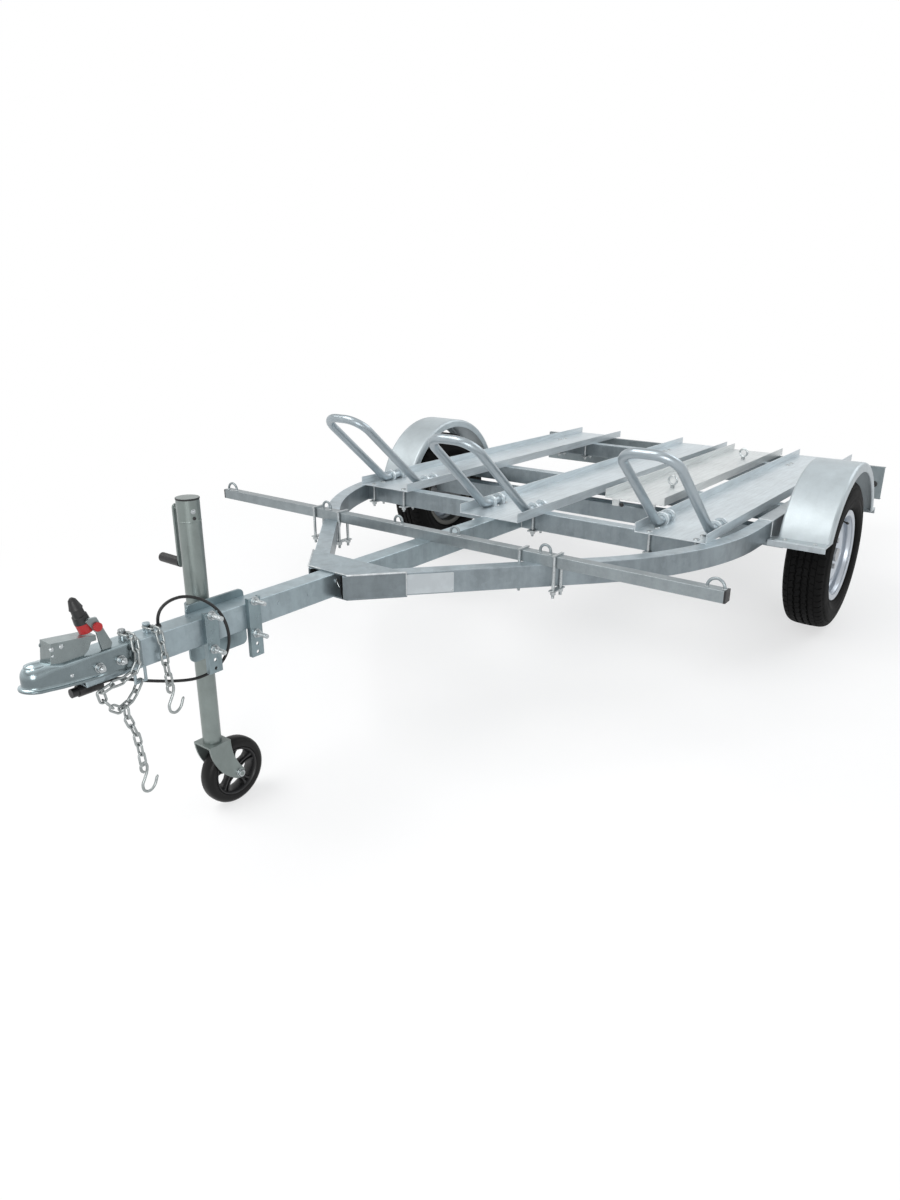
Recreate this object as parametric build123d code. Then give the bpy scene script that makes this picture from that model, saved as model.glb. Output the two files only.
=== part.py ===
"""Single-axle motorcycle trailer with three wheel channels, on its wheels and its jockey wheel."""
import os
from math import asin, atan2, ceil, cos, degrees, hypot, pi, radians, sin, sqrt, tan

from build123d import *

# Sizes are in millimetres and angles in degrees. The chassis is drawn level, with its origin in the
# middle of the wheel axle, +X to the trailer's left, +Y to its rear and +Z up. At the end the whole
# trailer is tipped nose-up, as it stands on its jockey wheel, and its origin moves to the ground.

fit_gap = 0.3
cut_overrun = 20
side_signs = {"left": 1, "right": -1}

# Road wheels
tyre_radius = 297
tyre_half_width = 82
tyre_tread_half_width = 52
tyre_gap = 33
tyre_sides = 60
rim_seat_radius = 165
rim_flange_radius = 182
rim_well_radius = 146
rim_half_width = 64
rim_well_half_width = 26
rim_well_slope = 10
rim_sheet = 5
rim_nave_radius = 100
rim_nave_depth = 14
rim_vent_count = 8
rim_vent_radius = 11
rim_vent_circle_radius = 112
wheel_offset = 25
hub_flange_radius = 70
hub_flange_thickness = 10
hub_radius = 34
hub_cap_radius = 27
hub_cap_length = 26
stud_count = 5
stud_circle_radius = 56
stud_radius = 7
stud_nut_radius = 11
stud_nut_height = 14
nut_sides = 6
spindle_radius = 15
spindle_setback = 2

# Frame
frame_top_height = 181
rail_height = 70
rail_width = 50
rail_wall = 3
frame_half_width = 858
rail_angle = 41.3
rail_bend_radius = 1025
rail_front_y = -1776.6
rail_end_y = -200
drawbar_width = 60
drawbar_wall = 4
drawbar_front_y = -2600
member_front_y = -349
member_wall = 3
lamp_board_y = 1093
crossbeam_width = 50
crossbeam_front_ys = {"front": -777, "middle": -62, "rear": 839}
gusset_thickness = 4
gusset_front_y = -1804
gusset_rear_y = -1669

# Rubber-sprung axle
axle_size = 70
axle_wall = 5
axle_y = -141
arm_thickness = 18
arm_pivot_radius = 33
arm_spindle_radius = 26

# Lamp board
board_overhang = 102
board_height = 160
board_sheet = 3
board_lip = 20
lamp_width = 210
lamp_height = 100
lamp_depth = 50
lamp_inset = 20
lamp_corner_radius = 10

# Fenders
fender_radius = 370
fender_width = 186
fender_sheet = 3
fender_lip = 35
fender_corner_radius = 12
fender_foot_length = 46
bracket_leg = 62
bracket_drop = 22
bracket_thickness = 4
bracket_height = 122

# Wheel channels: name, side, front end y; places and widths across are shares of the frame's half width
channel_front_table = (("left", 1, -811), ("middle", 0, -963), ("right", -1, -811))
channel_x_share = 0.75874
channel_width_share = 0.3042
channel_flange = 35
channel_sheet = 3
channel_rear_y = 1180
channel_bolt_radius = 5
bolt_sides = 8
channel_bolt_half_spacing = 85
channel_bolt_margin = 15
channel_strap_thickness = 6
channel_strap_width = 30

# Front wheel hoops
hoop_tube_radius = 16.5
hoop_wall = 2.5
hoop_bore_depth = 40
hoop_half_width = 98
hoop_foot_setback = 112
hoop_stub_length = 130
hoop_slope = 40
hoop_rise_length = 470
hoop_foot_bend = 50
hoop_top_bend = 75
hoop_loop_rod = 5
hoop_loop_offset_shares = (0.35, 0.8)

# Loading ramp
ramp_front_y = -375
ramp_length = 1525
ramp_width_share = 0.3042
ramp_x_share = 0.36364
ramp_flange = 35
ramp_sheet = 3
ramp_hook_width = 30
ramp_hook_inset = 52
ramp_hook_drop = 26
ramp_hook_thickness = 8
eye_bolt_x_share = 0.38462
eye_bolt_ring_radius = 24
eye_bolt_rod_radius = 5
eye_bolt_stem = 15
eye_bolt_sides = 8

# Tie bar
tie_bar_size = 35
tie_bar_wall = 2.5
tie_bar_y = -1333
tie_bar_half_length = 1036
tie_cap_thickness = 6
tie_ring_rod_radius = 4.5
# ring centre as a share of the bar's half length, ring outer width
tie_ring_share_table = ((0.118, 42), (0.454, 46), (0.972, 58))
tie_ring_height = 32
u_bolt_rod_radius = 5
u_bolt_gap = 2

# Coupler
ball_y = -2696
ball_height = 168
coupler_nose_radius = 30
coupler_neck_y = -2655
coupler_edge_radius = 6
coupler_wall = 4
coupler_rear_y = -2455
coupler_flange_width = 8
coupler_flange_thickness = 5
coupler_flange_height = 138
coupler_flange_slope = 5
coupler_bolt_height = 150
coupler_nut_radius = 10
coupler_nut_height = 12
coupler_bolt_ys = (-2565, -2511)
lever_front_y = -2669
lever_width = 44
lever_sheet = 3
# side of the lever's bracket: back from its front, above the coupler
lever_side_table = ((0, 0), (7, 52), (112, 40), (112, 27), (99, 27), (90, 10), (78, 0))
# side of the lever's arm, measured in the same way
lever_arm_table = ((121, 0), (117, 22), (114, 44), (92, 77), (99, 83), (118, 82), (147, 11), (143, 0))
lever_arm_x = 19
lever_arm_thickness = 7
button_back = 116
button_rise = 60
button_radius = 10.5
button_height = 6
grip_back = 104
grip_lean = 16
# height along the grip, radius
collar_table = ((0, 17), (24, 18))
grip_table = ((24, 18.5), (42, 17), (43, 14.5), (60, 13.5), (61, 15.5), (67, 13.5), (83, 9), (88, 4))

# Jockey wheel
jockey_x = -80
jockey_y = -2206
jockey_outer_radius = 30
jockey_outer_wall = 4
jockey_outer_top = 468
jockey_outer_bottom = 42
jockey_inner_wall = 4
jockey_inner_top = 235
jockey_fork_top = -235
jockey_axle_height = -353
jockey_trail = 58
jockey_tyre_radius = 100
jockey_tyre_half_width = 25
jockey_tyre_sides = 48
jockey_rim_radius = 72
jockey_rim_half_width = 26
jockey_axle_radius = 6
jockey_fork_gap = 5
jockey_fork_sheet = 5
jockey_fork_half_length = 36
# middle and lower end of the fork's front edge, then of its rear edge: back from the tube, up from the top
jockey_fork_front_table = ((-8, -82), (50, -134))
jockey_fork_rear_table = ((47, -64), (74, -110))
jockey_fork_tip_radius = 17
clamp_plate_thickness = 6
clamp_plate_rear_reach = 112
clamp_plate_front_reach = 74
clamp_plate_bottom = 42
clamp_plate_top = 203
clamp_plate_corner = 16
clamp_ring_wall = 6
clamp_ring_height = 70
clamp_bolt_radius = 6
clamp_bolt_tip_x = 86
clamp_bolt_ys = (-2258, -2118)
clamp_bolt_heights = (188.5, 96)
clamp_nut_radius = 10.5
clamp_nut_height = 10
strap_width = 40
strap_depth = 14
strap_sheet = 4
strap_bottom = 30
strap_top = 197
strap_hole_radius = 5
strap_hole_rises = (12, 36)
crank_spindle_radius = 8
crank_arm_length = 150
crank_arm_width = 22
crank_arm_thickness = 6
crank_reach = 50
crank_height = 433
crank_grip_radius = 13
crank_grip_length = 82

# Safety chains
link_length = 40
link_width = 22
link_rod = 5.5
link_corner = 6
link_gap = 0.3
chain_bolt_x = -12
chain_bolt_boss_radius = 9
chain_bolt_radius = 4
chain_bolt_head = 6
chain_bolt_slack = 0.6
# each line runs from its bolt to its end through points x, y, z
front_chain_bolt_y = -2474
front_chain_line = ((47, -2474, 190), (47, -2480, 124), (45, -2506, 102), (40, -2560, 104), (37, -2580, 88),
                    (36, -2536, 20), (33, -2496, 44), (22, -2446, 102))
front_chain_end_line = ((35, -2502, 28), (36, -2498, -60), (37, -2490, -160))
rear_chain_bolt_y = -2408
rear_chain_line = ((44, -2408, 190), (44, -2404, 120), (43, -2397, 44))
# hook's middle line, back and up from its first eye
hook_table = ((0, 0), (8, -14), (4, -34), (-8, -56), (-6, -74), (8, -82), (24, -72), (34, -50))
chain_staple_half_length = 14

# Lamp cable
cable_radius = 4
gland_radius = 8
gland_height = 6
plug_radius = 14
plug_length = 58
plug_nose_radius = 11
plug_nose_length = 16
cable_bend_share = 0.45
# points of the cable's line from its gland to its plug: x, y, z
cable_route = ((-14, -2374, 187), (-14, -2374, 207), (-11, -2363, 233), (-4, -2340, 251), (6, -2304, 255),
               (22, -2260, 238), (42, -2226, 204), (54, -2212, 158), (54, -2208, 108), (36, -2214, 60),
               (14, -2240, 22), (0, -2286, 10), (-4, -2340, 22), (-4, -2400, 44), (0, -2460, 70),
               (0, -2512, 96.7), (0, -2550, 96.7))

# Places that follow from the sizes above
drawbar_half = drawbar_width / 2
frame_bottom = frame_top_height - rail_height
rail_half = rail_width / 2
rail_centre_x = frame_half_width - rail_half
along = Vector(sin(radians(rail_angle)), cos(radians(rail_angle)))
across = Vector(cos(radians(rail_angle)), -sin(radians(rail_angle)))
rail_start = Vector(drawbar_half + fit_gap, rail_front_y) + across * rail_half
bend_run = rail_centre_x - rail_start.X - rail_bend_radius * (1 - cos(radians(rail_angle)))
rail_straight = bend_run / sin(radians(rail_angle))
bend_start = rail_start + along * rail_straight
bend_centre = bend_start - across * rail_bend_radius
member_half = rail_half + member_wall
member_top = frame_top_height + member_wall
member_bottom = frame_bottom - member_wall
member_outer_x = rail_centre_x + member_half
axle_height = member_bottom - axle_size / 2
wheel_x = member_outer_x + tyre_gap + tyre_half_width
hub_face_x = wheel_x + wheel_offset
arm_inner_x = frame_half_width + member_wall
arm_outer_x = arm_inner_x + arm_thickness
spindle_end_x = hub_face_x - spindle_setback
board_half_width = frame_half_width + board_overhang
channel_width = channel_width_share * frame_half_width
channel_table = tuple((name, side * channel_x_share * frame_half_width, front_y)
                      for name, side, front_y in channel_front_table)
ramp_width = ramp_width_share * frame_half_width
ramp_centre_x = ramp_x_share * frame_half_width
eye_bolt_x = eye_bolt_x_share * frame_half_width
tie_ring_table = tuple((share * tie_bar_half_length, width) for share, width in tie_ring_share_table)
lever_base = frame_top_height + coupler_wall + fit_gap
channel_floor_top = frame_top_height + channel_sheet
jockey_inner_radius = jockey_outer_radius - jockey_outer_wall - fit_gap
jockey_axle_y = jockey_y + jockey_trail


def block(x_range, y_range, z_range):
    """A box between two values along each axis."""
    spans = [(min(pair), max(pair)) for pair in (x_range, y_range, z_range)]
    middle = [(low + high) / 2 for low, high in spans]
    return Pos(*middle) * Box(*[high - low for low, high in spans])


def both_ways(value):
    """The range from minus to plus a value."""
    return (-value, value)


def around_x(face_yz):
    """A face drawn with X as the trailer's Y and Y as its Z, set upright in the YZ plane."""
    return Plane.YZ * face_yz


def rod_x(x_range, y, z, radius):
    """A round rod along X."""
    length = abs(x_range[1] - x_range[0])
    centre = Pos((x_range[0] + x_range[1]) / 2, y, z)
    return centre * Rot(0, 90, 0) * Cylinder(radius, length)


def rod_z(x, y, z_range, radius):
    """A round rod along Z."""
    return Pos(x, y, (z_range[0] + z_range[1]) / 2) * Cylinder(radius, z_range[1] - z_range[0])


def ring_shell(profile, x):
    """A profile, drawn as (along the axle, radius), turned about the axle and set at x."""
    turned = revolve(Plane.XZ * profile, axis=Axis.X)
    return Pos(x, 0, 0) * turned


def rail_plan(half_width):
    """Plan of a front side rail: a straight run, then an arc that ends parallel to the chassis."""
    half_angle = radians(rail_angle / 2)
    middle = Vector(cos(half_angle), -sin(half_angle))
    ends = []
    for offset in (half_width, -half_width):
        radius = rail_bend_radius + offset
        ends.append((rail_start + across * offset, bend_start + across * offset,
                     bend_centre + middle * radius,
                     Vector(bend_centre.X + radius, bend_centre.Y),
                     Vector(bend_centre.X + radius, rail_end_y)))
    (a, b, c, d, e), (f, g, h, i, j) = ends
    edges = [Line(a, b), ThreePointArc(b, c, d), Line(d, e), Line(e, j),
             Line(j, i), ThreePointArc(i, h, g), Line(g, f), Line(f, a)]
    return make_face(edges)


def rail_solid(half_width, low, high):
    """A front side rail's outline between two heights."""
    return Pos(0, 0, low) * extrude(rail_plan(half_width), high - low)


def side_rail(sign):
    """A front side rail of rectangular tube, bent from the drawbar out to the side member."""
    tube = rail_solid(rail_half, frame_bottom, frame_top_height)
    tube -= rail_solid(rail_half - rail_wall, frame_bottom + rail_wall, frame_top_height - rail_wall)
    return mirrored(tube, sign)


def mirrored(shape, sign):
    """The shape as drawn for the left side, or its mirror image for the right."""
    return shape if sign > 0 else mirror(shape, about=Plane.YZ)


def drawbar():
    """The square tube from the coupler back to the front crossbeam."""
    y_range = (drawbar_front_y, crossbeam_front_ys["front"])
    tube = block(both_ways(drawbar_half), y_range, (frame_bottom, frame_top_height))
    inner = block(both_ways(drawbar_half - drawbar_wall), y_range,
                  (frame_bottom + drawbar_wall, frame_top_height - drawbar_wall))
    tube -= inner
    return tube + chain_bolt(rear_chain_bolt_y, frame_top_height) + chain_staple()


def side_member(sign):
    """The sleeve that takes the rail's end and carries the axle, the fender and the lamp board."""
    y_range = (member_front_y, lamp_board_y)
    outer = block((rail_centre_x - member_half, rail_centre_x + member_half), y_range,
                  (member_bottom, member_top))
    inner = block((rail_centre_x - rail_half, rail_centre_x + rail_half), y_range,
                  (frame_bottom, frame_top_height))
    return mirrored(outer - inner, sign)


def crossbeam(name):
    """A tube across the frame, its ends cut to the rails or the side members."""
    front_y = crossbeam_front_ys[name]
    y_range = (front_y, front_y + crossbeam_width)
    reach = rail_centre_x - member_half
    outer = block(both_ways(reach), y_range, (frame_bottom, frame_top_height))
    inner = block(both_ways(reach), (front_y + rail_wall, front_y + crossbeam_width - rail_wall),
                  (frame_bottom + rail_wall, frame_top_height - rail_wall))
    tube = outer - inner
    if name == "front":
        for sign in side_signs.values():
            tube -= mirrored(rail_solid(rail_half, frame_bottom, frame_top_height), sign)
            tube -= mirrored(block((rail_centre_x - rail_half, rail_centre_x + member_half), y_range,
                                   (frame_bottom, frame_top_height)), sign)
        tube = tube.solids().sort_by(lambda piece: abs(piece.center().X))[0]
    return tube


def gusset_plan():
    """Plan of a Y-plate: its sides follow the rails' outer faces."""
    corner = rail_start + across * (rail_half + gusset_thickness)
    reach = corner + along * ((gusset_rear_y - corner.Y) / along.Y)
    start = corner + along * ((gusset_front_y - corner.Y) / along.Y)
    front_x = max(start.X, drawbar_half)
    points = [(-front_x, gusset_front_y), (front_x, gusset_front_y), (reach.X, gusset_rear_y),
              (-reach.X, gusset_rear_y)]
    return make_face(Polyline(*points, close=True))


def y_plate_top():
    """The top plate over drawbar and rails, folded down along the rails' outer faces."""
    plate = Pos(0, 0, frame_top_height) * extrude(gusset_plan(), gusset_thickness)
    for sign in side_signs.values():
        corner = rail_start + across * rail_half
        length = (gusset_rear_y - corner.Y) / along.Y
        a = corner
        b = corner + along * length
        points = [a, b, b + across * gusset_thickness, a + across * gusset_thickness]
        flange = extrude(make_face(Polyline(*points, close=True)), rail_height)
        plate += mirrored(Pos(0, 0, frame_bottom) * flange, sign)
    return plate


def y_plate_bottom():
    """The plate under the drawbar and the rails."""
    return Pos(0, 0, frame_bottom - gusset_thickness) * extrude(gusset_plan(), gusset_thickness)


def lamp_board():
    """The folded sheet across the rear, open to the back."""
    half = board_half_width
    low = frame_top_height - board_height
    outer = block(both_ways(half), (lamp_board_y, lamp_board_y + board_lip), (low, frame_top_height))
    inner = block(both_ways(half + cut_overrun), (lamp_board_y + board_sheet, lamp_board_y + board_lip
                  + cut_overrun), (low + board_sheet, frame_top_height - board_sheet))
    return outer - inner


def tail_lamp(sign):
    """A lamp with rounded corners on the back of the lamp board."""
    x = sign * (board_half_width - lamp_inset - lamp_width / 2)
    z = frame_top_height - board_height / 2
    body = Pos(x, lamp_board_y + board_sheet + lamp_depth / 2, z) * Box(lamp_width, lamp_depth, lamp_height)
    return fillet(body.edges().filter_by(Axis.Y), lamp_corner_radius)


def axle_beam():
    """The square axle tube under the side members."""
    outer = block(both_ways(arm_inner_x), (axle_y - axle_size / 2, axle_y + axle_size / 2),
                  (axle_height - axle_size / 2, axle_height + axle_size / 2))
    inner = block(both_ways(arm_inner_x), (axle_y - axle_size / 2 + axle_wall, axle_y + axle_size / 2
                  - axle_wall), (axle_height - axle_size / 2 + axle_wall, axle_height + axle_size / 2
                  - axle_wall))
    return outer - inner


def torsion_arm(sign):
    """The trailing arm with its spindle."""
    pivot = Pos(axle_y, axle_height) * Circle(arm_pivot_radius)
    tip = Circle(arm_spindle_radius)
    plan = make_hull((pivot + tip).edges())
    arm = Pos(arm_inner_x, 0, 0) * extrude(around_x(plan), arm_thickness)
    arm += rod_x((arm_inner_x, spindle_end_x), 0, 0, spindle_radius)
    return mirrored(arm, sign)


def hub(sign):
    """The hub with its flange, studs, nuts and grease cap."""
    inner_x = arm_outer_x + fit_gap
    body = rod_x((inner_x, hub_face_x), 0, 0, hub_radius)
    body += rod_x((hub_face_x - hub_flange_thickness, hub_face_x), 0, 0, hub_flange_radius)
    body += rod_x((hub_face_x, hub_face_x + hub_cap_length), 0, 0, hub_cap_radius)
    body -= rod_x((inner_x, spindle_end_x + fit_gap), 0, 0, spindle_radius + fit_gap)
    nut_x = hub_face_x + rim_sheet + fit_gap
    for index in range(stud_count):
        angle = 2 * pi * index / stud_count
        y, z = stud_circle_radius * cos(angle), stud_circle_radius * sin(angle)
        body += rod_x((hub_face_x - hub_flange_thickness, nut_x), y, z, stud_radius)
        nut = extrude(around_x(Pos(y, z) * RegularPolygon(stud_nut_radius, nut_sides)), stud_nut_height)
        body += Pos(nut_x, 0, 0) * nut
    return mirrored(body, sign)


def rim(sign):
    """A pressed wheel: rim with a drop centre, and a dished nave with round vents."""
    seat, well = rim_seat_radius - rim_sheet / 2, rim_well_radius
    half = rim_half_width - rim_sheet / 2
    path = Polyline((-half, rim_flange_radius), (-half, seat), (-rim_well_half_width, seat),
                    (-rim_well_half_width + rim_well_slope, well), (rim_well_half_width - rim_well_slope, well),
                    (rim_well_half_width, seat), (half, seat), (half, rim_flange_radius))
    nave = Polyline((0, well), (wheel_offset + rim_nave_depth, rim_nave_radius),
                    (wheel_offset + rim_sheet / 2, hub_flange_radius),
                    (wheel_offset + rim_sheet / 2, hub_cap_radius + fit_gap))
    profile = trace(path, rim_sheet) + trace(nave, rim_sheet)
    wheel = ring_shell(profile, wheel_x)
    for index in range(rim_vent_count):
        angle = 2 * pi * index / rim_vent_count
        y, z = rim_vent_circle_radius * cos(angle), rim_vent_circle_radius * sin(angle)
        vent = extrude(around_x(Pos(y, z) * RegularPolygon(rim_vent_radius, rim_vent_count)), 2 * rim_half_width)
        wheel -= Pos(wheel_x - rim_half_width, 0, 0) * vent
    for index in range(stud_count):
        angle = 2 * pi * index / stud_count
        y, z = stud_circle_radius * cos(angle), stud_circle_radius * sin(angle)
        wheel -= rod_x((hub_face_x, hub_face_x + rim_half_width), y, z, stud_radius + fit_gap)
    return mirrored(wheel, sign)


def many_sided(points, x, y, z, sides):
    """A round body about an axle: points are (along the axle, radius), a flat side stands on the ground."""
    turn = -park_angle() + 180 / sides
    sections = []
    for along_axle, radius in points:
        plane = Plane(origin=(x + along_axle, y, z), x_dir=(0, 0, -1), z_dir=(1, 0, 0))
        sections.append(plane * RegularPolygon(radius, sides, major_radius=False, rotation=turn))
    return loft(sections, ruled=True)


def tyre(sign):
    """A road tyre, its section drawn as straight runs from bead to bead."""
    depth = tyre_radius - rim_seat_radius
    bead = rim_half_width - rim_sheet
    # share of the half width, share of the section height
    side_shares = ((0.94, 0.27), (1.0, 0.52), (0.90, 0.82))
    points = [(bead, rim_flange_radius)]
    points += [(tyre_half_width * wide, rim_seat_radius + depth * high) for wide, high in side_shares]
    points += [(tyre_tread_half_width, tyre_radius)]
    points += [(-x, r) for x, r in reversed(points)]
    body = many_sided(points, wheel_x, 0, 0, tyre_sides)
    bore = ((-tyre_half_width, rim_seat_radius), (tyre_half_width, rim_seat_radius))
    body -= many_sided(bore, wheel_x, 0, 0, tyre_sides)
    return mirrored(body, sign)


def sector(radius, inner_radius, width, corner):
    """A ring about the axle, cut off at the fender's foot height, centred on the wheel."""
    half = width / 2
    profile = make_face(FilletPolyline((-half, inner_radius), (-half, radius), (half, radius),
                                       (half, inner_radius), close=False, radius=corner).edges()
                        + Line((half, inner_radius), (-half, inner_radius)).edges())
    solid = ring_shell(profile, wheel_x)
    keep = block((0, 2 * wheel_x), both_ways(2 * radius), (bracket_height, 2 * radius))
    return solid & keep


def fender(sign):
    """A fender sheet round the wheel with turned-down lips, and a flat foot at each end."""
    shell = sector(fender_radius, fender_radius - fender_lip, fender_width, fender_corner_radius)
    inner_width = fender_width - 2 * fender_sheet
    shell -= sector(fender_radius - fender_sheet, fender_radius - 2 * fender_lip, inner_width,
                    fender_corner_radius - fender_sheet)
    end_y = sqrt(fender_radius ** 2 - bracket_height ** 2)
    for way in (1, -1):
        foot = block((wheel_x - inner_width / 2, wheel_x + inner_width / 2),
                     (way * (end_y - fender_sheet), way * (end_y + fender_foot_length)),
                     (bracket_height, bracket_height + fender_sheet))
        shell += foot
    return mirrored(shell, sign)


def fender_brackets(sign):
    """Two angles from the side member out under the fender's feet."""
    end_y = sqrt(fender_radius ** 2 - bracket_height ** 2)
    brackets = []
    for way in (1, -1):
        y_range = (way * (end_y - bracket_leg + fender_foot_length), way * (end_y + fender_foot_length))
        x_range = (member_outer_x, wheel_x + fender_width / 2 - fender_sheet)
        leg = block(x_range, y_range, (bracket_height - bracket_thickness, bracket_height))
        edge = y_range[1]
        leg += block(x_range, (edge, edge - way * bracket_thickness),
                     (bracket_height - bracket_drop, bracket_height))
        brackets.append(mirrored(leg, sign))
    return brackets


def channel(name, x, front_y):
    """A wheel channel, with half-round loops that hold its hoop's ends."""
    y_range = (front_y, channel_rear_y)
    half = channel_width / 2
    flange_top = channel_floor_top - channel_sheet + channel_flange
    outer = block((x - half, x + half), y_range, (frame_top_height, flange_top))
    inner = block((x - half + channel_sheet, x + half - channel_sheet), y_range, (channel_floor_top, flange_top))
    body = outer - inner
    loop_radius = hoop_tube_radius + fit_gap
    loop_outer = loop_radius + 2 * hoop_loop_rod
    for side in (1, -1):
        for share in hoop_loop_offset_shares:
            y = front_y + hoop_foot_setback + hoop_stub_length * share
            ring = extrude(Plane.XZ * (Circle(loop_outer) - Circle(loop_radius)), hoop_loop_rod, both=True)
            ring = Pos(x + side * hoop_half_width, y, channel_floor_top + hoop_tube_radius) * ring
            keep = block((x - half, x + half), (y - 2 * hoop_loop_rod, y + 2 * hoop_loop_rod),
                         (channel_floor_top, channel_floor_top + 2 * loop_outer))
            body += ring & keep
    return body


def hoop(x, front_y):
    """A bent tube that a front wheel leans into, with two level ends held on the channel floor."""
    z = channel_floor_top + hoop_tube_radius
    foot_y = front_y + hoop_foot_setback
    end_y = foot_y + hoop_stub_length
    top_y = foot_y - hoop_rise_length * cos(radians(hoop_slope))
    top_z = z + hoop_rise_length * sin(radians(hoop_slope))
    half = hoop_half_width
    points = [(x - half, end_y, z), (x - half, foot_y, z), (x - half, top_y, top_z),
              (x + half, top_y, top_z), (x + half, foot_y, z), (x + half, end_y, z)]
    radii = [hoop_foot_bend, hoop_top_bend, hoop_top_bend, hoop_foot_bend]
    path = FilletPolyline(*points, radius=radii)
    tube = sweep(Plane(origin=path @ 0, z_dir=path % 0) * Circle(hoop_tube_radius), path=path)
    for side in (1, -1):
        bore = Plane.XZ * (Pos(x + side * half, z) * Circle(hoop_tube_radius - hoop_wall))
        tube -= Pos(0, end_y, 0) * extrude(bore, hoop_bore_depth)
    return tube


def channel_bolts():
    """Bolts from each channel's floor down both sides of a crossbeam, with a strap under the beam."""
    pieces = []
    rod_reach = channel_bolt_radius + fit_gap
    for name, x, front_y in channel_table:
        for beam in ("front", "rear"):
            beam_y = crossbeam_front_ys[beam]
            rod_ys = (beam_y - rod_reach, beam_y + crossbeam_width + rod_reach)
            strap_low = frame_bottom - channel_strap_thickness
            for side in (1, -1):
                bolt_x = x + side * channel_bolt_half_spacing
                strap = block((bolt_x - channel_strap_width / 2, bolt_x + channel_strap_width / 2),
                              (rod_ys[0] - channel_bolt_margin, rod_ys[1] + channel_bolt_margin),
                              (strap_low, frame_bottom))
                for y in rod_ys:
                    rod = extrude(RegularPolygon(channel_bolt_radius, bolt_sides),
                                  frame_top_height - strap_low + channel_bolt_margin)
                    strap += Pos(bolt_x, y, strap_low - channel_bolt_margin) * rod
                pieces.append(strap)
    return pieces


def ramp():
    """The loading ramp, a shallow channel stowed between two wheel channels on the crossbeams."""
    y_range = (ramp_front_y, ramp_front_y + ramp_length)
    half = ramp_width / 2
    top = frame_top_height + ramp_flange
    outer = block((ramp_centre_x - half, ramp_centre_x + half), y_range, (frame_top_height, top))
    inner = block((ramp_centre_x - half + ramp_sheet, ramp_centre_x + half - ramp_sheet), y_range,
                  (frame_top_height + ramp_sheet, top))
    body = outer - inner
    for side in (1, -1):
        hook_x = ramp_centre_x + side * (half - ramp_hook_inset)
        hook_range = (hook_x - ramp_hook_width / 2, hook_x + ramp_hook_width / 2)
        body += block(hook_range, (ramp_front_y - ramp_hook_thickness, ramp_front_y),
                      (frame_top_height - ramp_hook_drop, frame_top_height + ramp_sheet))
    return body


def ramp_eye_bolts():
    """Two eye bolts that hold the ramp down on the crossbeams."""
    pieces = []
    for beam in ("middle", "rear"):
        y = crossbeam_front_ys[beam] + crossbeam_width / 2
        low = frame_top_height + ramp_sheet
        middle_radius = eye_bolt_ring_radius - eye_bolt_rod_radius
        rod = RegularPolygon(eye_bolt_rod_radius, eye_bolt_sides)
        eye = extrude(rod, eye_bolt_stem)
        eye += extrude(RegularPolygon(2 * eye_bolt_rod_radius, nut_sides), 2 * eye_bolt_rod_radius)
        ring = revolve(Plane.XZ * (Pos(middle_radius, 0) * rod), axis=Axis.Z)
        eye += Pos(0, 0, eye_bolt_stem + middle_radius) * Rot(90, 0, 0) * ring
        pieces.append(Pos(eye_bolt_x, y, low) * eye)
    return pieces


def half_ring(x, y, base, width, height, rod_radius):
    """An upright loop of rod with both ends on a flat face."""
    radius = width / 2 - rod_radius
    arc_z = base + height - width / 2
    points = [(x - radius, y, base), (x - radius, y, arc_z), (x, y, arc_z + radius), (x + radius, y, arc_z),
              (x + radius, y, base)]
    path = Line(points[0], points[1]) + ThreePointArc(*points[1:4]) + Line(points[3], points[4])
    section = Plane(origin=path @ 0, z_dir=path % 0) * RegularPolygon(rod_radius, bolt_sides)
    return sweep(section, path=path)


def tie_bar():
    """The square tube across the nose, with six tie-down rings welded on top."""
    base = frame_top_height
    half = tie_bar_size / 2
    y_range = (tie_bar_y - half, tie_bar_y + half)
    outer = block(both_ways(tie_bar_half_length), y_range, (base, base + tie_bar_size))
    inner = block(both_ways(tie_bar_half_length), (y_range[0] + tie_bar_wall, y_range[1] - tie_bar_wall),
                  (base + tie_bar_wall, base + tie_bar_size - tie_bar_wall))
    bar = outer - inner
    for x, width in tie_ring_table:
        for side in (1, -1):
            bar += half_ring(side * x, tie_bar_y, base + tie_bar_size - tie_bar_wall / 2, width,
                             tie_ring_height, tie_ring_rod_radius)
    return bar


def tie_bar_caps():
    """Plastic caps on the tie bar's ends."""
    half = tie_bar_size / 2
    z = frame_top_height + half
    caps = []
    for side in (1, -1):
        x_range = (side * tie_bar_half_length, side * (tie_bar_half_length + tie_cap_thickness))
        caps.append(block(x_range, (tie_bar_y - half, tie_bar_y + half), (z - half, z + half)))
    return caps


def tie_bar_u_bolts():
    """U-bolts that clamp the tie bar onto the side rails."""
    pieces = []
    distance = (tie_bar_y - rail_start.Y) / along.Y
    x = (rail_start + along * distance).X
    top = frame_top_height + tie_bar_size
    half = tie_bar_size / 2 + u_bolt_rod_radius
    reach = (rail_half + u_bolt_rod_radius + u_bolt_gap) / across.X + half * along.X / along.Y
    for side in (1, -1):
        for shift in (-reach, reach):
            centre = side * (x + shift)
            strap = block((centre - u_bolt_rod_radius, centre + u_bolt_rod_radius),
                          (tie_bar_y - half - u_bolt_rod_radius, tie_bar_y + half + u_bolt_rod_radius),
                          (top, top + u_bolt_rod_radius))
            for y in (tie_bar_y - half, tie_bar_y + half):
                strap += rod_z(centre, y, (frame_bottom - 2 * u_bolt_rod_radius, top + u_bolt_rod_radius),
                               u_bolt_rod_radius)
            pieces.append(strap)
    return pieces


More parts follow.
